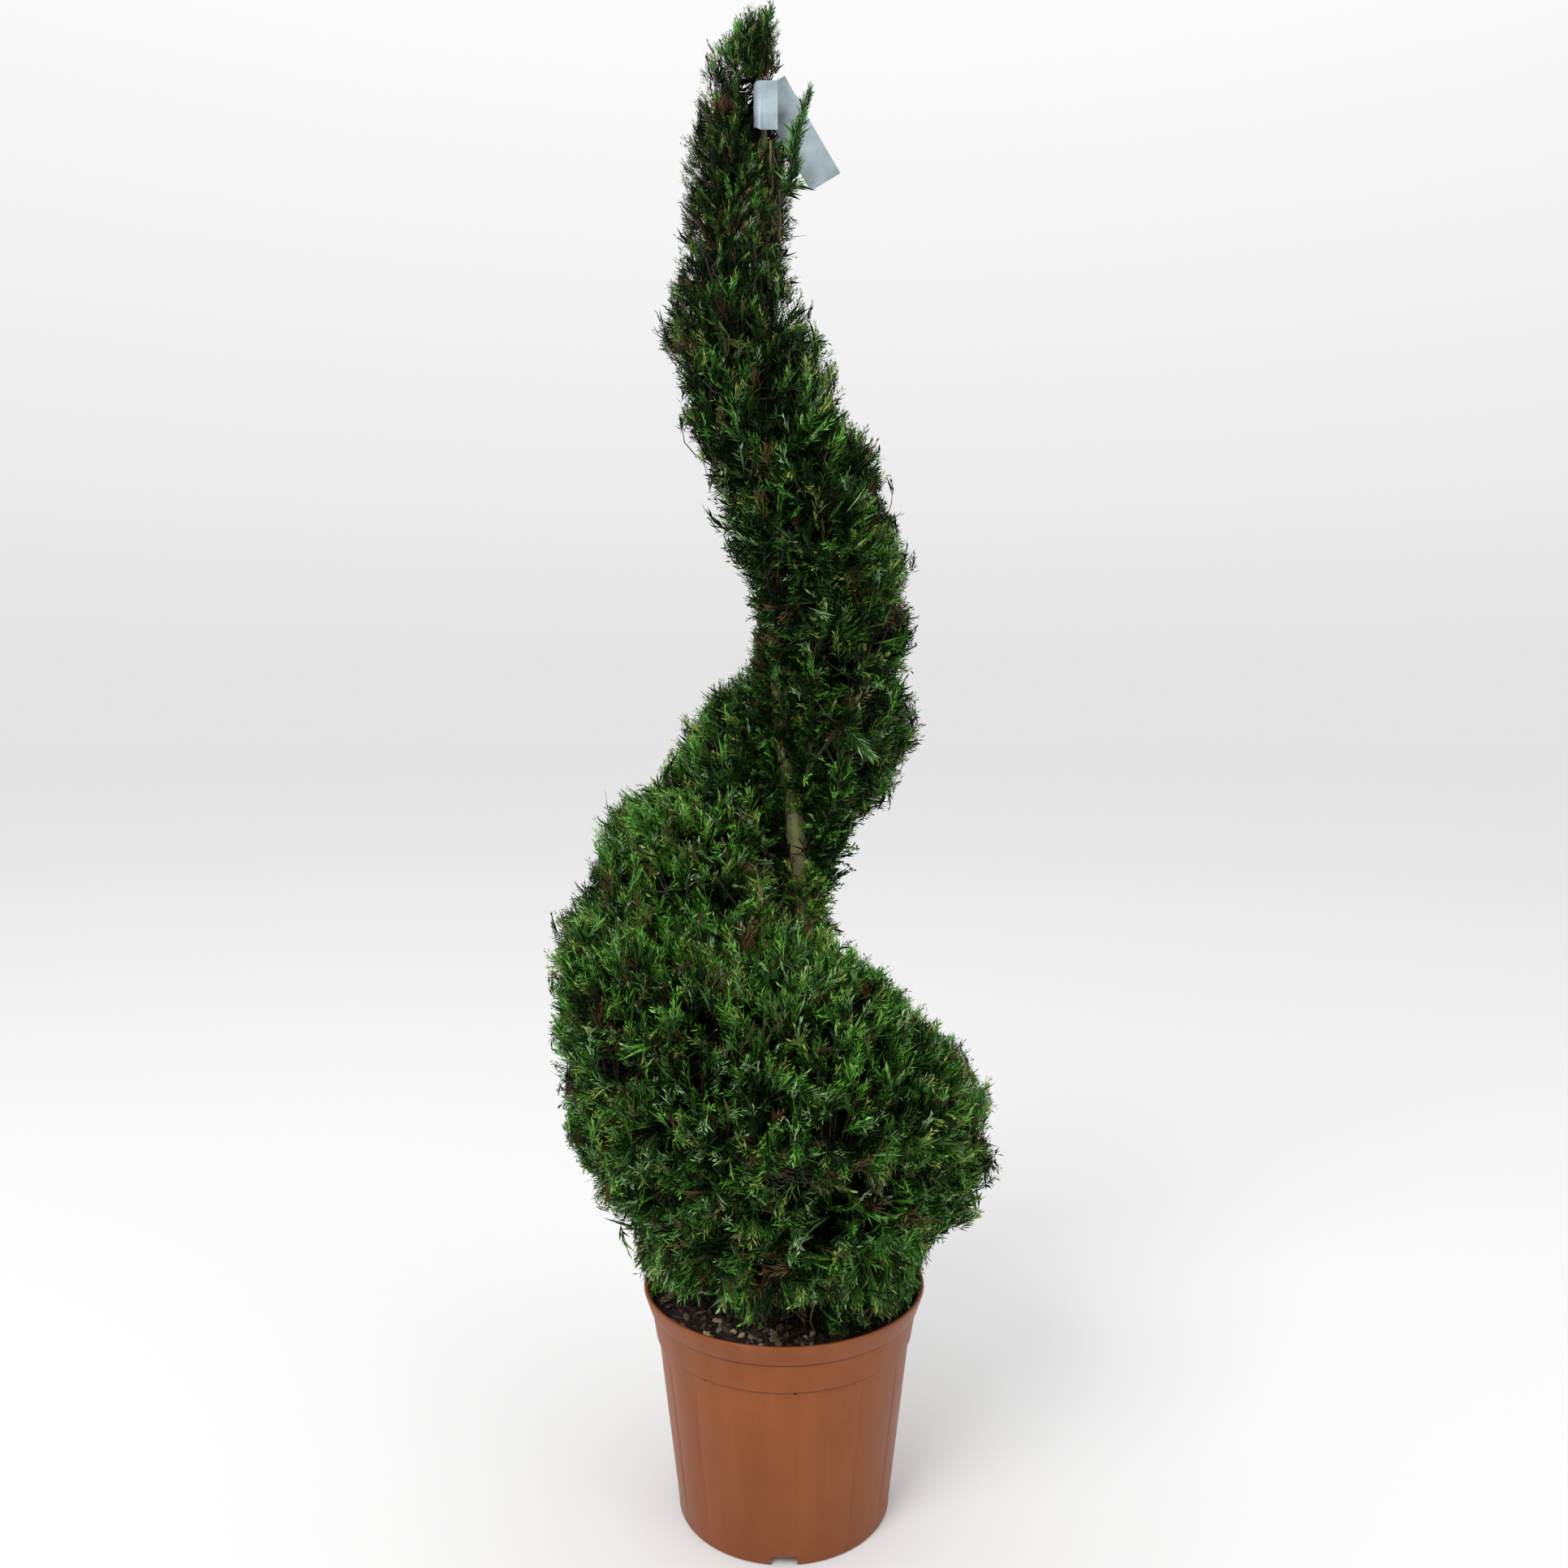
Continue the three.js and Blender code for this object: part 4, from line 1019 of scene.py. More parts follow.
def inPotOrTooLow(points):
    # whether points lie in the compost, in or on the pot's wall, or over the top
    r = np.hypot(points[:, 0], points[:, 1])
    low = points[:, 2] < shape["compost"] + 1
    wall = (points[:, 2] < pot["height"] + 2) & (r > potInside(points[:, 2]) - 2)
    return low | wall | (points[:, 2] > shape["top"])


def dealTones(rng, tips, out, hollow):
    # each spray's place in leafTones: greens by light and depth, with pale, bronzed and dead ones among them
    number = len(tips)
    mean, scatter = foliage["tone"]
    patch = softNoise(tips, *foliage["patchWaves"])
    fine = softNoise(tips, *foliage["fineWaves"])
    high = smooth((tips[:, 2] - 1050) / 200)
    tone = mean + 0.14 * patch + 0.1 * fine + rng.normal(0, scatter, number) * (1 + 0.5 * high)
    tone += 0.1 * out[:, 2] - 0.4 * hollow - 0.08 * high
    near, span, more = foliage["trunkShade"]
    tone += more * smooth((near - trunkGap(tips)) / span)
    for start, span, more in foliage["toneAtHeight"]:
        tone += more * smooth((tips[:, 2] - start) / span)
    for x, y, z, reach in brighterPatches:
        far = np.linalg.norm(tips - np.array([x, y, z]), axis=-1)
        tone += foliage["fresh"] * smooth((reach - far) / (0.4 * reach))
    dealt = np.digitize(tone, foliage["toneSteps"])
    dice = rng.random(number)
    dealt = np.where((dice < foliage["yellowShare"]) & (dealt > 0), 4, dealt)
    grey = dice > foliage["greyFrom"] + 0.05 * smooth((tips[:, 2] - 900) / 200)
    dealt = np.where(grey & (dealt > 0), 5, dealt)
    bronzed = 0.03 + 0.09 * smooth((tips[:, 2] - 1240) / 120)
    bronzed += 0.2 * (softNoise(tips, *foliage["bronzeWaves"]) > 1.1)
    dealt = np.where(rng.random(number) < bronzed, 9, dealt)
    dry = rng.random(number) < 0.035 + 0.25 * (softNoise(tips, *foliage["dryWaves"]) > 1.35)
    for x, y, z, reach in deadPatches:
        near = np.linalg.norm(tips - np.array([x, y, z]), axis=-1) < reach * rng.uniform(0.6, 1.2, number)
        dry |= near & (rng.random(number) < 0.6)
    return np.where(dry, np.where(rng.random(number) < 0.9, 6, 7), dealt)


def overreach(forms, which, args):
    # how far each spray's outermost finger stands over the clipped face, measured level
    over = np.zeros(len(which))
    for k, form in enumerate(forms):
        take = which == k
        made = spraysFrom((form[0][2::4], None), *(value[take] for value in args))
        over[take] = -depthInside(made.reshape(-1, 3)).reshape(made.shape[:2]).min(1)
    return over


def pullIn(forms, which, args, out, target):
    # the roots moved along the way out, so that each spray's outermost finger ends where it should
    over = overreach(forms, which, args) * np.hypot(out[:, 0], out[:, 1])
    return args[0] - out * (over - target)[:, None]


def hemHeight(angle):
    low, more, middle, breadth = foliage["hem"]
    away = np.degrees(turnFrom(math.radians(middle), angle))
    return low + more * np.exp(-((away / breadth) ** 2))


def swellOf(face, angle, z, hollow):
    # how far the tips of a place stand over the clipped face: clumps, tufts, hollows and both edges
    over = foliage["proud"] - foliage["hollowDepth"] * hollow
    over += foliage["lobes"] * np.clip(softNoise(face, *foliage["lobeWaves"]), -1.3, 1.3)
    over += foliage["tufts"] * np.clip(softNoise(face, *foliage["tuftWaves"]), -1.3, 1)
    over += along(trims["right"], z) * np.maximum(np.cos(angle), 0) ** 2
    return over + along(trims["left"], z) * np.maximum(-np.cos(angle), 0) ** 2


def hollowOf(face):
    # from 0 on the clipped face to 1 in the dark hollows between its tufts
    return smooth((-softNoise(face, *foliage["hollowWaves"]) - 0.5) / 0.5)


def growFoliage(labelClear):
    # every spray of every mass: those that the eye sees, and coarse dark ones behind them
    rng = np.random.default_rng(foliage["seed"])
    forms = [sprayForm(rng, foliage["fingers"], 1, foliage["fingerWidth"]) for _ in range(foliage["forms"])]
    innerForms = [sprayForm(rng, foliage["innerFingers"], 0, foliage["innerFingerWidth"])
                  for _ in range(foliage["innerForms"])]
    outer = growOuter(rng, forms, labelClear)
    inner = growInner(rng, innerForms, labelClear)
    print("sprays:", len(outer["which"]), "outer and", len(inner["which"]), "inner")
    return outer, inner


def growOuter(rng, forms, labelClear):
    # sprays that end on the clumps of the face, save where they would meet pot, trunk or label
    angle, z = sow(rng, foliage["spacing"])
    number = len(angle)
    out = wayOut(angle, z)
    face = facePoint(angle, z)
    hollow = hollowOf(face)
    keep = (outline(angle, z) > 12) & (rng.random(number) > 0.45 * hollow) & (z > hemHeight(angle))
    droop = smooth((foliage["droop"][0] - z) / foliage["droop"][1])
    sway = rng.normal(0, foliage["sway"], (number, 3))
    rise = 0.38 + 0.2 * smooth((z - 900) / 200) + 0.8 * smooth((z - 1340) / 90)
    heading = unit(out + sway + up * (rise - 1.2 * droop)[:, None])
    length = rng.uniform(*foliage["length"], number) * (1 - 0.42 * smooth((z - 1050) / 250))
    length = np.minimum(length, np.maximum(0.9 * trunkGap(face), 1))
    keep &= length > foliage["shortest"]
    flat = squareTo(heading, unit(np.cross(heading, up) + 0.8 * rng.normal(size=(number, 3))))
    curl = rng.normal(0, 0.16, number)
    lift = rng.uniform(0.0, 0.16, number) * (1 - 2 * droop)
    width = rng.uniform(0.85, 1.2, number)
    which = rng.integers(0, len(forms), number)
    ragged = np.clip(rng.normal(0, foliage["ragged"], number), *foliage["raggedLimits"])
    target = ragged + swellOf(face, angle, z, hollow)
    args = [face - heading * length[:, None], heading, flat, length, width, curl, lift]
    root = args[0] = pullIn(forms, which, args, out, target)
    tip = root + heading * length[:, None]
    for spot in (tip, (tip + root) / 2, root):
        keep &= ~inPotOrTooLow(spot) & (trunkGap(spot) > 1.5)
    keep &= (depthInside(root) > np.where(z > 1430, 1, 5)) & (tip[:, 2] < shape["top"] - 4)
    keep &= (tip[:, 2] > hemHeight(angle) - 11) & (target - swellOf(tip, angle, tip[:, 2], hollow) < 15)
    near = z > label["lookAbove"]
    for share in (0.15, 0.5, 0.8, 1.05):
        for sideways in (-0.3, 0, 0.3):
            across = np.cross(flat, heading) * (sideways * length)[:, None]
            keep[near] &= ~labelClear((root + heading * (share * length)[:, None] + across)[near])
    tones = dealTones(rng, tip, out, hollow)
    return sprayGroup(forms, which[keep], tones[keep], [value[keep] for value in args], massOf(tip[keep]))


def growInner(rng, forms, labelClear):
    # sprays that fill the dark behind them and nowhere show on the outline
    angle, z = sow(rng, foliage["innerSpacing"])
    number = len(angle)
    out = wayOut(angle, z)
    face = facePoint(angle, z)
    length = rng.uniform(*foliage["innerLength"], number)
    length = np.minimum(length, np.maximum(0.9 * trunkGap(face), 1))
    heading = unit(out + rng.normal(0, foliage["innerSway"], (number, 3)) + 0.5 * up)
    flat = squareTo(heading, unit(rng.normal(size=(number, 3))))
    width, curl, lift = rng.uniform(0.9, 1.3, number), rng.normal(0, 0.2, number), np.zeros(number)
    inward = swellOf(face, angle, z, hollowOf(face)) - rng.uniform(*foliage["innerDepth"], number)
    which = rng.integers(0, len(forms), number)
    args = [face - heading * length[:, None], heading, flat, length, width, curl, lift]
    root = args[0] = pullIn(forms, which, args, out, inward)
    tip = root + heading * length[:, None]
    keep = (length > foliage["innerShortest"]) & (trunkGap(root) > 0.5) & (z > hemHeight(angle))
    for spot in (tip, root):
        keep &= (depthInside(spot) > foliage["innerClear"]) & ~inPotOrTooLow(spot) & ~labelClear(spot)
    over = overreach(forms, which, args)
    behindFace, behindClumps, behindHem = foliage["innerBehind"]
    low = smooth((350 - tip[:, 2]) / 30)
    swell = swellOf(tip, angle, tip[:, 2], hollowOf(tip))
    keep &= (over < -behindFace) & (over < swell - behindClumps - behindHem * low)
    # painted shade: the inner sprays take the near black, deep shade and dry brown tones
    dealt = np.digitize(rng.random(int(keep.sum())), foliage["innerToneSteps"])
    tones = np.array(foliage["innerTones"])[dealt]
    return sprayGroup(forms, which[keep], tones, [value[keep] for value in args], massOf(tip[keep]))


def collect(groups, mass):
    # the sprays of one mass as one set of points, faces and tones. The fingers of a green or pale spray
    # are darker towards its foot, where the light doesn't reach
    points, faces, tones = [], [], []
    start = 0
    for group in groups:
        for k, form in enumerate(group["forms"]):
            take = (group["which"] == k) & (group["mass"] == mass)
            count = int(take.sum())
            if not count:
                continue
            made = spraysFrom(form, *(value[take] for value in group["args"]))
            offsets = start + np.arange(count) * len(form[0])
            points.append(made.reshape(-1, 3))
            faces.append((form[1][None] + offsets[:, None, None]).reshape(-1, 3))
            dealt = np.repeat(group["tones"][take][:, None], len(form[1]), 1)
            share = form[0][form[1][:, 1], 0][None, :]  # how far from foot to tip each finger leaves
            green = np.isin(dealt, (1, 2, 3))
            darker = np.maximum(dealt - (share < 0.62) - (share < 0.3), 0)
            pale = np.where(share < 0.3, 0, np.where(share < 0.66, 1 + (dealt == 4), dealt))
            other = np.where(np.isin(dealt, (4, 5)), pale, dealt)
            tones.append(np.where(green, darker, other).ravel())
            start += count * len(form[0])
    return np.concatenate(points), np.concatenate(faces), np.concatenate(tones)


def makeFoliage(groups, materials):
    total = 0
    for mass, node in enumerate(massNodes):
        points, faces, tones = collect(groups, mass)
        points[:, 2] = np.clip(points[:, 2], shape["compost"] + 0.5, shape["top"] + 2)
        piece = makePiece(node.replace("foliage", "leaves"), points, [faces], materials, tones)
        finishPiece(piece, "foliage", node)
        total += len(faces)
    print("leaf faces:", total)


def makeBoughsAndTwigs(paths, radii, sprays, material, twigMaterials, labelClear):
    makeTubes("boughs_bark", paths, radii, 7, [material], np.zeros(len(paths), int), boughs["nodes"], 60)

    # a twig from a bough to each of some sprays
    rng = np.random.default_rng(boughs["seed"] + 1)
    spots = paths.reshape(-1, 3)
    tree = KDTree(len(spots))
    for k, spot in enumerate(spots):
        tree.insert(spot, k)
    tree.balance()
    root, heading = sprays["args"][0], sprays["args"][1]
    lines, sizes = [], []
    s = np.linspace(0, 1, 5)[:, None]
    for k in np.flatnonzero(rng.random(len(root)) < twigs["share"]):
        behind = root[k] - heading[k] * twigs["reachBack"] * 0.6 - up * twigs["reachDown"]
        foot, _, gap = tree.find(Vector(behind))
        if gap > twigs["furthest"] or foot.z > root[k][2]:
            continue
        tip = root[k] + heading[k] * twigs["reachIn"]
        line = (1 - s) ** 2 * np.array(foot) + 2 * s * (1 - s) * behind + s * s * tip
        clear = depthInside(line).min() > 3 and trunkGap(line[1:]).min() > 1
        if not clear or line[:, 2].min() <= twigs["lowest"]:
            continue
        if tip[2] > label["lookAbove"] - 10 and labelClear(line).any():
            continue
        lines.append(line)
        sizes.append(np.linspace(twigs["radius"][1], twigs["radius"][0], 5) * rng.uniform(0.7, 1.1))
    makeTubes("twigs", lines, sizes, 3, twigMaterials, rng.choice([0, 1, 1, 1, 2], len(lines)))
    named = len(boughs["named"])
    print("boughs:", named, "named and", len(paths) - named, "more, twigs:", len(lines))


# the blank label: a strip of matt plastic film bent round the leader

label = {
    "top": 1404.5,
    "faceHeight": 46,
    "faceLeft": -29,
    "faceRight": -6,
    "depth": 19,
    "bend": 7,  # how far along the face the bend reaches
    "thickness": 0.8,
    "tailWidth": 33.5,
    "tailLength": 110,
    "tailEnd": (40.5, 1318),
    "tailFall": 59.5,
    "bendRise": 6,
    "tailBow": 2,
    "crease": 0.2,
    "edgeCut": 0.25,
    "clear": 5.5,  # how far foliage keeps from the film
    "clearAtEdges": 3,
    "lookAbove": 1280,  # the lowest places that are looked at for it
}


def labelFrames(bendSteps=28, tailSteps=16):
    # middles, directions across and widths of the strip: the face, the bend round the leader, the tail
    half = label["depth"] / 2
    face = label["top"] - label["faceHeight"] / 2
    back = float(trunkCentre(face)[1] + trunkRadius(label["top"] - label["faceHeight"])) + 1
    front = back - label["depth"]
    middles = [(x, front, face)
               for x in np.linspace(label["faceRight"], label["faceLeft"] + label["bend"] + 1, 5)]
    acrosses = [up] * len(middles)
    widths = [label["faceHeight"]] * len(middles)
    for t in np.linspace(0, 1, bendSteps):
        turn = math.pi * t
        middles.append((label["faceLeft"] + label["bend"] * (1 - math.sin(turn)),
                        front + half - half * math.cos(turn), face + label["bendRise"] * t))
        acrosses.append(up)
        widths.append(label["faceHeight"] + (label["tailWidth"] - label["faceHeight"]) * t)
    fall = math.radians(label["tailFall"])
    down = np.array([math.cos(fall), 0, -math.sin(fall)])
    across = np.array([math.sin(fall), 0, math.cos(fall)])
    end = np.array([label["tailEnd"][0], back, label["tailEnd"][1]])
    for share in np.linspace(0.97, 0, tailSteps):
        middle = end - down * share * label["tailLength"]
        middle[1] += label["tailBow"] * math.sin(math.pi * share)
        middles.append(tuple(middle))
        acrosses.append(across)
        widths.append(label["tailWidth"])
    return np.array(middles), np.array(acrosses), np.array(widths)


def labelClearing():
    middles, acrosses, widths = labelFrames(6, 6)

    def clear(points):
        # whether each point lies on or close to the label
        hit = np.zeros(len(points), bool)
        for k in range(len(middles) - 1):
            way = middles[k + 1] - middles[k]
            length = np.linalg.norm(way)
            way = way / length
            across = unit(acrosses[k] + acrosses[k + 1])
            offset = points - middles[k]
            s = offset @ way
            v = offset @ across
            w = offset @ unit(np.cross(way, across))
            half = (widths[k] + widths[k + 1]) / 4
            more = label["clearAtEdges"]
            beside = (np.abs(s - length / 2) < length / 2 + more) & (np.abs(v) < half + more)
            hit |= beside & (np.abs(w) < label["clear"])
        # nor in front of the face, which the photo shows whole
        x, y, z = points.T
        front = (x > label["faceLeft"] - 4) & (x < label["faceRight"] + 4) & (y < 2)
        return hit | (front & (z > label["top"] - label["faceHeight"] - 4) & (z < label["top"] + 3))
    return clear


def labelMaterial():
    # matt white film, printed on neither side: cool white, a faint pebble and soft broad gloss
    material, tree, shader = newMaterial("mattPolypropyleneFilm", "#97a5ad", 0.42)
    place = addNode(tree, "ShaderNodeTexCoord").outputs["Object"]
    clouds = addNode(tree, "ShaderNodeTexNoise", {"Scale": perMetre(22), "Detail": 3.0}, {"Vector": place})
    tint = addLayer(tree, "#7b888e", "#97a6ae", clouds.outputs["Fac"], 0.35, 0.65)
    tree.links.new(tint, shader.inputs["Base Color"])
    addGrain(tree, shader, 1.1, 2.0, 0.2, 0.0003)
    return material


def makeLabel():
    middles, acrosses, widths = labelFrames()
    heading = np.gradient(middles, axis=0)
    thin = unit(np.cross(heading, acrosses))
    crease = label["crease"] * np.sin(np.linspace(0, 9, len(middles)))[:, None] * thin
    rings = []
    half = label["thickness"] / 2
    cut = label["edgeCut"]
    for u, v in ((1, -1), (1, 1), (-1, 1), (-1, -1)):
        for du, dv in (((-cut, 0), (0, -cut)) if u * v < 0 else ((0, -cut), (-cut, 0))):
            edge = acrosses * (u * (widths / 2 + du))[:, None]
            rings.append(middles + crease + edge + thin * v * (half + dv))
    points = np.stack(rings, 1).reshape(-1, 3)
    faces = [ringFaces(len(middles), len(rings)), endCaps(len(middles), len(rings))]
    piece = makePiece("label_film", points, faces, [labelMaterial()], sharpOver=45)
    finishPiece(piece, "label", "label")


# small growth that the photo shows by itself

sideShoot = {
    "foot": 1276,  # the height where it leaves the trunk
    "line": [(6, -22, 1306), (12, -31, 1346), (24, -36, 1382)],
    "radius": 1.9,
    "sprays": 118,
    "span": (0.2, 0.99),
    "length": (11, 11),  # at its tip, and how much more at its foot
    "seed": 20418,
}
trunkGrowth = [
    # short sprays on the bare trunk: heights, number, the strip's heading and half breadth in degrees,
    # how steeply they rise, lengths and tones. They leave the strip bare, or grow on it alone where it
    # is negative
    ((586, 640), 330, -84, 0, 0.5, (12, 26), (2, 2, 3, 4, 4, 9)),
    ((640, 704), 260, -90, 58, 0.6, (16, 30), (0, 0, 0, 8, 1)),
    ((700, 800), 760, -100, 34, 0.7, (16, 32), (0, 0, 0, 1, 1, 2)),
    ((800, 870), 400, -100, 34, 0.8, (13, 28), (0, 0, 1, 1, 2, 6)),
    ((870, 960), 420, -100, 34, 1.1, (10, 20), (0, 0, 1, 1, 2, 6)),
    ((702, 744), 300, -95, -66, 0.8, (7, 15), (4, 4, 3, 2, 9)),
    ((744, 960), 500, -95, -50, 0.8, (5, 12), (4, 4, 2, 2, 9, 9)),
    ((1222, 1342), 760, -90, 4, 1.5, (11, 22), (6, 9, 8, 0, 0, 1, 1, 2, 9, 2)),
    ((1290, 1345), 200, 0, -62, 1.4, (12, 22), (0, 1, 1, 2)),
    ((1409, 1440), 170, -90, 0, 1.3, (9, 18), (6, 9, 9, 1, 2, 0, 8)),
    ((604, 684), 300, 155, -75, 0.4, (18, 34), (0, 8, 8, 1)),
]
clump = {
    # twigs that leave the trunk to its right and carry dark sprays: height, heading, rise, reach
    "twigs": [(608, 4, 32, 40), (612, 30, 38, 44), (618, -14, 40, 40), (622, 16, 30, 50), (630, 44, 34, 52),
              (634, -6, 30, 54), (640, 22, 28, 58), (646, 2, 34, 56), (652, 40, 30, 56), (658, -12, 36, 50),
              (664, 12, 30, 54), (672, 34, 34, 52), (680, -4, 38, 48), (690, 20, 40, 50)],
    "spraysEach": 26,
    "span": (1.5, 8),
    "length": (16, 28),
    "radius": 1.0,
    "lowest": 604,
    "tones": (0, 0, 1, 1, 2, 5),
}
limbGrowth = {  # sprays on the named limbs
    "each": (220, 150, 130, 70, 70, 110),
    "span": (0.8, 7.6),
    "length": (14, 28),
    "tones": (0, 0, 1, 1, 2, 3),
}
leader = {
    "axis": -30,  # the shoots lean towards this place
    "lean": (0.12, 6.7),  # of the sprays and of the wood
    "back": (15, 46),
    "length": (11, 20),
    "wood": (20, 32),  # how far under the tip it ends, and how long it is
}
leaderTufts = [  # tip, sprays and tones of each upright shoot at the top
    ((-14, 0, 1486), 40, (1, 2, 2, 3)),
    ((-33, 4, 1476), 56, (2, 3, 3, 4)),
    ((-44, -3, 1466), 56, (2, 2, 3, 3)),
    ((-51, 4, 1446), 44, (1, 2, 2, 9)),
    ((-28, -8, 1452), 40, (1, 2, 3, 2)),
    ((-61, 0, 1410), 34, (1, 1, 2, 9)),
    ((-66, -10, 1396), 34, (0, 1, 2, 3)),
    ((-50, -10, 1402), 34, (0, 1, 2, 4)),
    ((-66, 8, 1376), 34, (0, 1, 1, 2)),
    ((-52, 6, 1352), 34, (0, 1, 1, 4)),
    ((-70, -6, 1342), 34, (0, 1, 2, 9)),
]
skirtFoot = {
    "stems": 34,  # old branches from the compost up into the skirt
    "ring": (34, 92),
    "headings": (-185, 5),
    "dryLeaves": 150,
    "dryRing": (52, 116),
    "dryHeights": (228, 268),
    "dryLength": (16, 30),
    "dryTones": (6, 6, 9, 8, 8, 8, 0, 1),
    "fringe": 230,  # green sprays that hang to the rim at the right of the front
    "fringeHeadings": (-68, -6),
    "fringeRing": (112, 133),
    "fringeHeights": (223, 242),
    "fringeLength": (18, 30),
    "fringeTones": (0, 1, 1, 2, 2, 3, 5),
}
hangingSpray = {"foot": (53, 794), "tip": (85, 759), "sprays": 7, "proud": 3}  # a flat one, seen full face
strays = {"number": 90, "length": (8, 20), "radius": 0.36, "below": 1380}
fibres = {  # loose strands of bark on the leader
    "number": 150,
    "across": (-30, -3),
    "back": (-19, -6),
    "heights": (1236, 1353),
    "length": (9, 26),
    "radius": (0.2, 0.42),
}
stems = [  # slender stems beside the leader and in the groove: foot, tip, radius and which wood
    ((-16, -7, 1262), (-13, -11, 1350), 1.9, 3),
    ((-19, -8, 1270), (-24, -12, 1350), 1.3, 1),
    ((-2, -12, 768), (-7, -19, 830), 1.5, 0),
    ((-4, -13, 790), (2, -19, 842), 0.9, 4),
    ((18, -9, 664), (30, -12, 706), 1.2, 0),
    ((30, 6, 646), (33, 0, 598), 0.7, 2),
    ((38, 4, 650), (37, -2, 600), 0.7, 2),
    ((34, 10, 640), (41, 2, 604), 0.6, 2),
    ((26, 4, 640), (28, -4, 596), 0.6, 2),
]


def bezierLine(points, steps):
    # a smooth line through the points
    points = np.array(points, float)
    padded = np.concatenate([[2 * points[0] - points[1]], points, [2 * points[-1] - points[-2]]])
    made = []
    for k in range(len(points) - 1):
        a, b, c, d = padded[k:k + 4]
        for t in np.linspace(0, 1, steps, endpoint=False):
            made.append(0.5 * (2 * b + (c - a) * t + (2 * a - 5 * b + 4 * c - d) * t ** 2
                               + (3 * b - a - 3 * c + d) * t ** 3))
    return np.array(made + [points[-1]])


def makeSideShoot(materials, twigMaterial):
    rng = np.random.default_rng(sideShoot["seed"])
    line = bezierLine([tuple(trunkCentre(sideShoot["foot"]))] + sideShoot["line"], 8)
    number = sideShoot["sprays"]
    s = np.linspace(*sideShoot["span"], number)
    at = np.linspace(0, 1, len(line))
    ahead = unit(spotsOn(np.gradient(line, axis=0), at, s))
    side = unit(np.cross(ahead, rng.normal(size=(number, 3)) * 0.5 + np.array([0, 1.0, 0])))
    sign = np.where(np.arange(number) % 2, 1, -1)[:, None]
    heading = unit(ahead + side * sign * (0.6 * (1.1 - s))[:, None] + 0.2 * rng.normal(size=(number, 3)))
    flat = unit(np.cross(heading, np.cross(ahead, heading) + 0.3 * rng.normal(size=(number, 3))))
    short, more = sideShoot["length"]
    length = (short + more * (1 - s)) * rng.uniform(0.8, 1.1, number)
    forms = [sprayForm(rng, 9, 1, 0.05) for _ in range(3)]
    group = sprayGroup(forms, rng.integers(0, 3, number), rng.choice([1, 2, 2, 3, 5, 5], number),
                       (spotsOn(line, at, s), heading, flat, length, np.full(number, 0.9),
                        rng.normal(0, 0.12, number), np.full(number, 0.05)))
    points, faces, tones = collect([group], 0)
    stem, quads, ends = tubes(line[None], sideShoot["radius"] * np.linspace(1.2, 0.35, len(line))[None], 6)
    woody = np.full(len(quads) + len(ends), len(materials))
    piece = makePiece("leaves_12_side_shoot", np.concatenate([points, stem]),
                      [faces, quads + len(points), ends + len(points)], materials + [twigMaterial],
                      np.concatenate([tones, woody]))
    finishPiece(piece, "foliage", "foliage_12_side_shoot")


def frontOf(x, z, steps=641):
    # the foremost spot of the clipped face at this place across and height
    back = np.linspace(-260, 60, steps)
    spots = np.stack([np.full(steps, float(x)), back, np.full(steps, float(z))], -1)
    return spots[np.argmax(depthInside(spots) > 0)]


def looseSprays(rng, forms, root, heading, length, tones):
    # sprays at the given roots, each with its plane turned at random about its heading
    number = len(root)
    flat = squareTo(heading, rng.normal(size=(number, 3)))
    return sprayGroup(forms, rng.integers(0, len(forms), number), tones,
                      (root, heading, flat, length, rng.uniform(0.8, 1.15, number),
                       rng.normal(0, 0.16, number), rng.uniform(0, 0.12, number)))


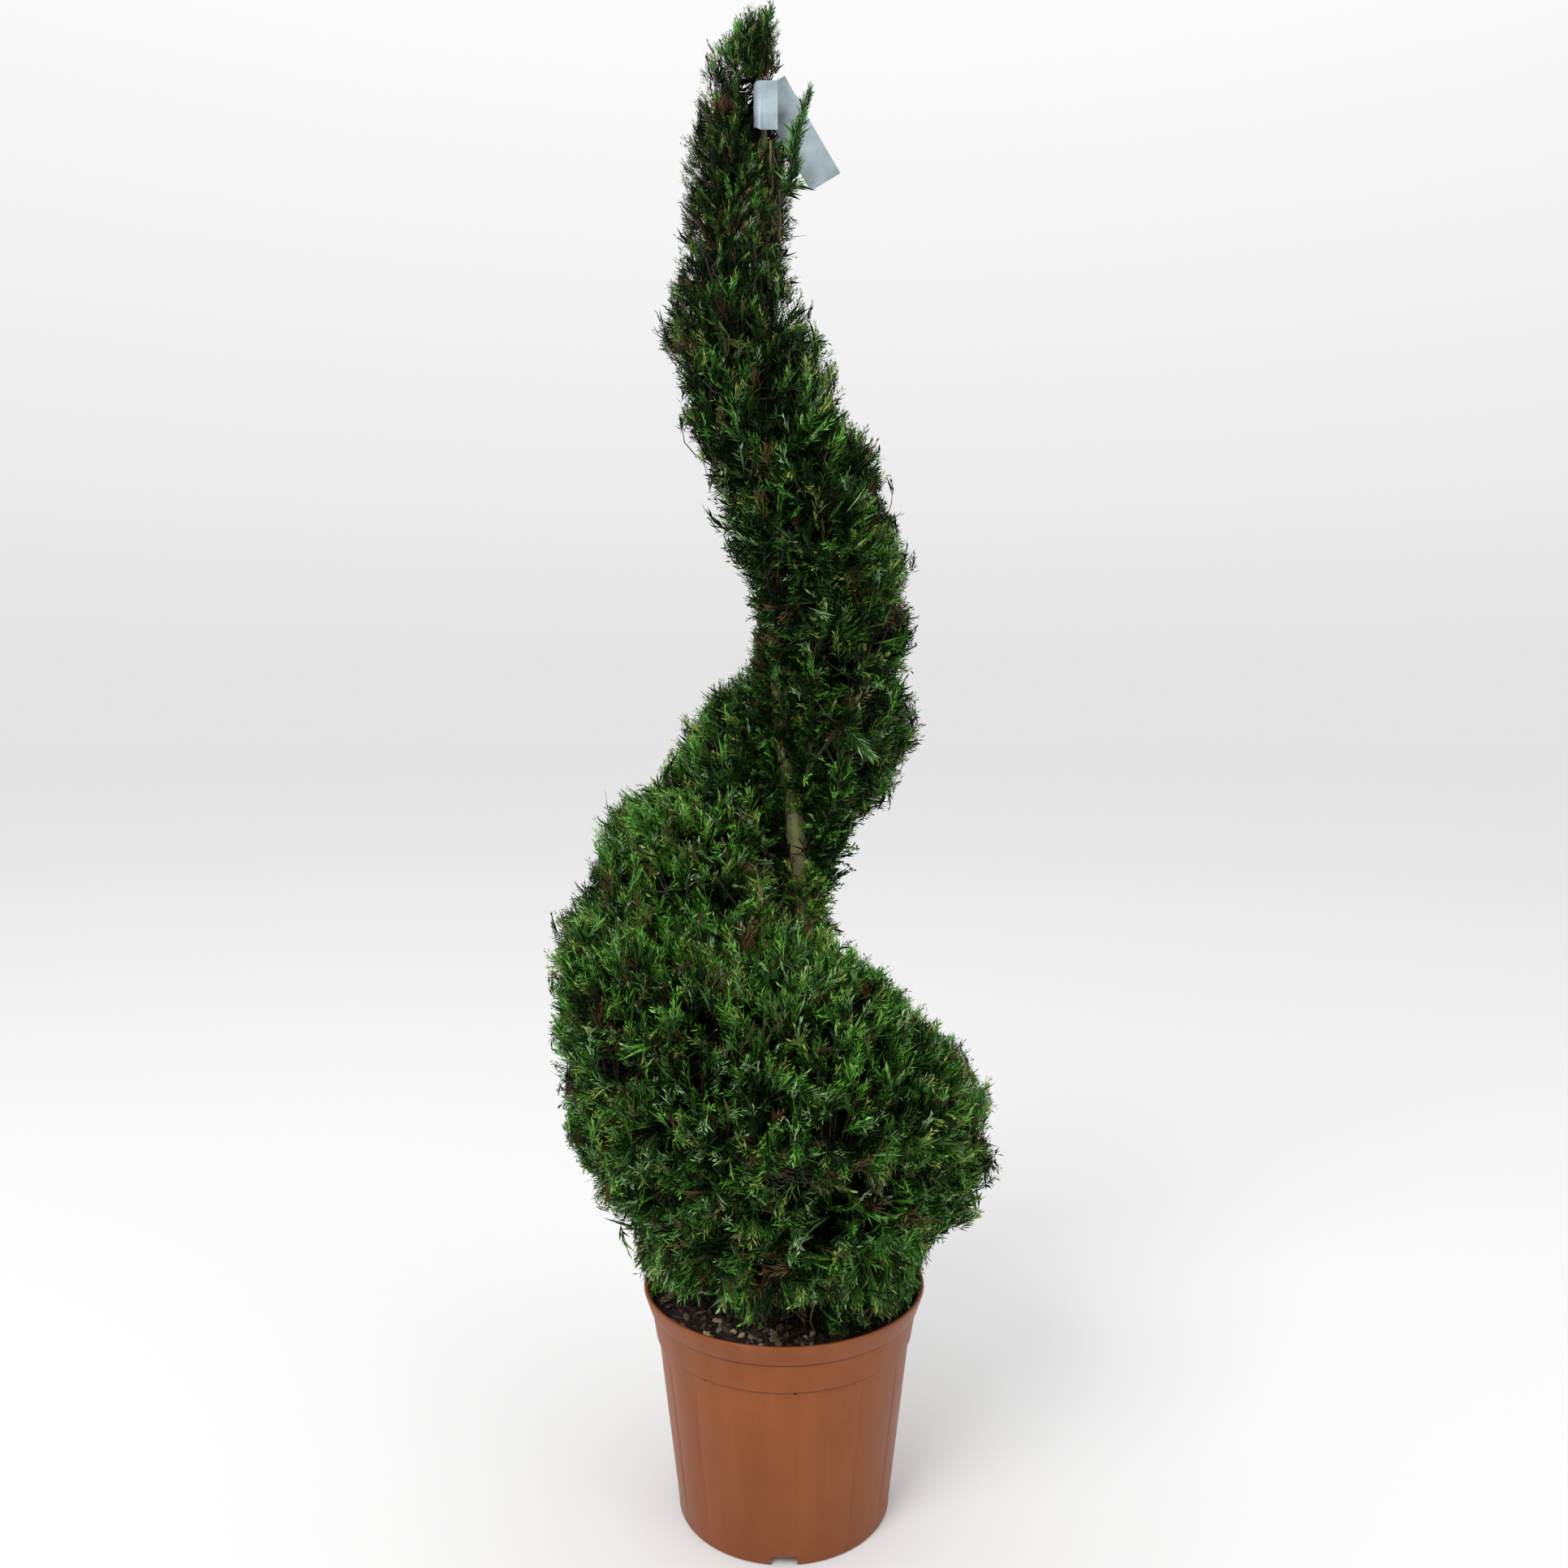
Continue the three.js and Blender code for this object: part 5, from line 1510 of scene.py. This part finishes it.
def growSmallLeaves(rng, boughPaths, labelClear):
    # the groups of short sprays, and the wood that some of them grow on: lines, radii and tones
    forms = [sprayForm(rng, 8, 1, 0.05) for _ in range(6)]
    groups, wood = [], []
    steps = boughs["steps"]

    def add(root, heading, length, tones, keep=slice(None)):
        dealt = rng.choice(tones, len(root))[keep]
        groups.append(looseSprays(rng, forms, root[keep], heading[keep], length[keep], dealt))

    def addAlong(path, number, growth, ahead, rise, size=1.0):
        root = spotsOn(path, np.arange(steps), rng.uniform(*growth["span"], number))
        heading = unit(ahead * unit(path[-1] - path[0]) + rng.normal(0, 0.6, (number, 3)) + rise * up)
        length = rng.uniform(*growth["length"], number) * size
        keep = trunkGap(root + heading * length[:, None]) > 4
        add(root, heading, length, growth["tones"], keep & (root[:, 2] > clump["lowest"]))

    for (low, high), number, middle, bare, rise, lengths, tones in trunkGrowth:
        z = rng.uniform(low, high, number)
        angle = rng.uniform(-np.pi, np.pi, number)
        way = levelWay(angle)
        root = trunkCentre(z) + way * (trunkRadius(z) + 0.4)[:, None]
        heading = unit(way + up * rise + rng.normal(0, 0.35, (number, 3)))
        length = rng.uniform(*lengths, number)
        away = np.abs(turnFrom(math.radians(middle), angle))
        keep = (away > math.radians(bare)) if bare >= 0 else (away < math.radians(-bare))
        for share in (0, 0.6, 1.15):
            keep &= ~labelClear(root + heading * (share * length)[:, None])
        keep &= trunkGap(root + heading * length[:, None]) > 0.12 * lengths[0]
        add(root, heading, length, tones, keep)

    for height, angle, rise, reach in clump["twigs"]:
        path = boughPath(height, angle, rise, reach)
        wood.append((path, clump["radius"] * np.linspace(1.3, 0.5, steps), 1))
        addAlong(path, clump["spraysEach"], clump, 0.6, 0.15)
    for path, number in zip(boughPaths, limbGrowth["each"]):  # the fewer they are, the shorter
        addAlong(path, number, limbGrowth, 0.3, 0.1, min(0.5 + number / 260, 1))

    s = np.linspace(0, 1, steps)[:, None]
    for tip, number, tones in leaderTufts:
        back = rng.uniform(*leader["back"], number)
        length = np.minimum(rng.uniform(*leader["length"], number), back)
        root = np.array(tip) - up * back[:, None] + rng.normal(0, 1.6, (number, 3)) * [1, 1, 0]
        root[:, 0] += leader["lean"][0] * back * np.sign(leader["axis"] - tip[0])
        heading = unit(up * 1.25 + rng.normal(0, 0.3, (number, 3)))
        add(root, heading, length, tones, ~labelClear(root) & ~labelClear(root + heading * length[:, None]))
        lean = np.array([leader["lean"][1] * np.sign(tip[0] - leader["axis"]), 0, 0])
        line = np.array(tip) - up * (leader["wood"][0] + leader["wood"][1] * (1 - s)) - lean * (1 - s)
        wood.append((line, np.linspace(1.0, 0.3, steps), 1))

    number = skirtFoot["dryLeaves"]
    angle = np.radians(rng.uniform(*skirtFoot["headings"], number))
    r, z = rng.uniform(*skirtFoot["dryRing"], number), rng.uniform(*skirtFoot["dryHeights"], number)
    r = np.minimum(r, 78 + 1.1 * (z - skirtFoot["dryHeights"][0]))
    way = levelWay(angle)
    heading = unit(way - 0.9 * up + rng.normal(0, 0.4, (number, 3)))
    length = np.minimum(rng.uniform(*skirtFoot["dryLength"], number), (z + 10 - shape["compost"]) * 0.9)
    add(way * r[:, None] + up * (z + 12)[:, None], heading, length, skirtFoot["dryTones"])

    number = skirtFoot["fringe"]
    way = levelWay(np.radians(rng.uniform(*skirtFoot["fringeHeadings"], number)))
    tip = way * rng.uniform(*skirtFoot["fringeRing"], number)[:, None]
    tip += up * rng.uniform(*skirtFoot["fringeHeights"], number)[:, None]
    heading = unit(way * 0.8 - up * 0.5 + rng.normal(0, 0.28, (number, 3)))
    length = rng.uniform(*skirtFoot["fringeLength"], number)
    add(tip - heading * length[:, None], heading, length, skirtFoot["fringeTones"])

    number = hangingSpray["sprays"]
    foot, tip = (frontOf(*hangingSpray[end]) - (0, hangingSpray["proud"], 0) for end in ("foot", "tip"))
    way = tip - foot
    share = np.linspace(0, 0.45, number)[:, None]
    root = foot + way * share + rng.normal(0, 1.2, (number, 3))
    heading = unit(way + rng.normal(0, 0.06, (number, 3)) * np.linalg.norm(way))
    flat = unit(np.cross(heading, np.cross((0, -1.0, 0.1), heading)))
    length = np.linalg.norm(way) * (1 - 0.8 * share[:, 0])
    feather = [sprayForm(rng, 15, 0, 0.035) for _ in range(2)]
    groups.append(sprayGroup(feather, np.arange(number) % 2, rng.choice((5, 5, 2, 3), number),
                             (root, heading, flat, length, np.full(number, 0.7), np.full(number, 0.05),
                              np.zeros(number))))
    return groups, wood


def growSmallWood(rng, outer):
    # the stems by themselves, old wood under the skirt, loose fibres of bark and stray shoots
    s = np.linspace(0, 1, boughs["steps"])[:, None]
    wood = []

    def taper(first, last):
        return np.linspace(first, last, boughs["steps"])

    for foot, tip, radius, tone in stems:
        a, b = np.array(foot, float), np.array(tip, float)
        bow = rng.normal(0, 0.025, 3) * np.linalg.norm(b - a)
        wood.append((a + (b - a) * s + bow * np.sin(np.pi * s), radius * taper(1.1, 0.6), tone))
    for angle in np.radians(rng.uniform(*skirtFoot["headings"], skirtFoot["stems"])):
        way = levelWay(angle)
        foot = way * rng.uniform(*skirtFoot["ring"]) + up * (shape["compost"] - 2)
        far, climb = rng.uniform(18, 48), rng.uniform(34, 70)
        bend = rng.normal(0, 7, 3) * np.sin(np.pi * s)
        wood.append((foot + way * far * s ** 1.4 + up * climb * s + bend,
                     rng.uniform(0.5, 1.3) * taper(1.15, 0.6), rng.integers(0, 4)))
    for _ in range(fibres["number"]):
        length = rng.uniform(*fibres["length"])
        z = rng.uniform(fibres["heights"][0], fibres["heights"][1] - length)
        foot = np.array([rng.uniform(*fibres["across"]), rng.uniform(*fibres["back"]), z])
        lean = np.array([rng.normal(0, 0.22), rng.normal(-0.04, 0.1), 1.0])
        bend = rng.normal(0, 0.5, 3) * np.sin(np.pi * s)
        wood.append((foot + unit(lean) * length * s + bend,
                     rng.uniform(*fibres["radius"]) * taper(1, 0.45), rng.choice([1, 1, 2, 3, 4])))
    root, heading, _, length = outer["args"][:4]
    for k in rng.choice(len(root), strays["number"], replace=False):
        if root[k][2] > strays["below"]:
            continue
        tip = root[k] + heading[k] * length[k] * 0.8
        way = unit(heading[k] + rng.normal(0, 0.35, 3))
        wood.append((tip + way * rng.uniform(*strays["length"]) * s + rng.normal(0, 4, 3) * s ** 2,
                     strays["radius"] * taper(1, 0.4), rng.integers(0, 3)))
    return wood


def makeSmallGrowth(materials, twigMaterials, outer, boughPaths, labelClear, seed=51):
    rng = np.random.default_rng(seed)
    groups, wood = growSmallLeaves(rng, boughPaths, labelClear)
    points, faces, tones = collect(groups, 0)
    points[:, 2] = np.maximum(points[:, 2], shape["compost"] - 1)
    finishPiece(makePiece("leaves_13_groove", points, [faces], materials, tones), "foliage")
    clear = [row for row in wood + growSmallWood(rng, outer) if not labelClear(row[0]).any()]
    lines, sizes, tones = zip(*clear)
    makeTubes("stems", lines, sizes, 5, twigMaterials, tones, sharpOver=60)


def makeTwigMaterials():
    # last year's wood: smooth, thin red-brown bark with a dull gloss. The red-brown, brown and grey wood is
    # coloured darker than such bark, as painted shade for twigs inside the foliage
    made = []
    for name, colour in (("youngTwigRedBrown", "#421f12"), ("youngTwigBrown", "#261b12"),
                         ("weatheredTwigGrey", "#352f26"), ("dryBarkFibreTan", "#86704c"),
                         ("dryBarkFibreOrange", "#6e4d2b")):
        material, tree, shader = newMaterial(name, colour, 0.68)
        addGrain(tree, shader, 2.2, 4.0, 0.4, 0.0005)
        made.append(material)
    return made


makeStage()
makePot()
makeCompost()
bark = barkMaterial("youngConiferBark", "#62573a", "#30271a", "#7a6f4c", "#56602a")
# the boughs' bark is a darker copy of the trunk's: painted shade for the limbs inside the foliage
boughBarkPaintedShade = barkMaterial("youngBoughBarkPaintedShade", "#2a2015", "#19120b", "#362a1b", "#2b3218")
makeTrunk(bark)
leaves = leafMaterials()
twigWood = makeTwigMaterials()
boughPaths, boughRadii = growBoughs()
labelClear = labelClearing()
outerSprays, innerSprays = growFoliage(labelClear)
makeFoliage([outerSprays, innerSprays], leaves)
makeBoughsAndTwigs(boughPaths, boughRadii, outerSprays, boughBarkPaintedShade, twigWood, labelClear)
makeSideShoot(leaves, twigWood[1])
makeSmallGrowth(leaves, twigWood, outerSprays, boughPaths, labelClear)
makeLabel()
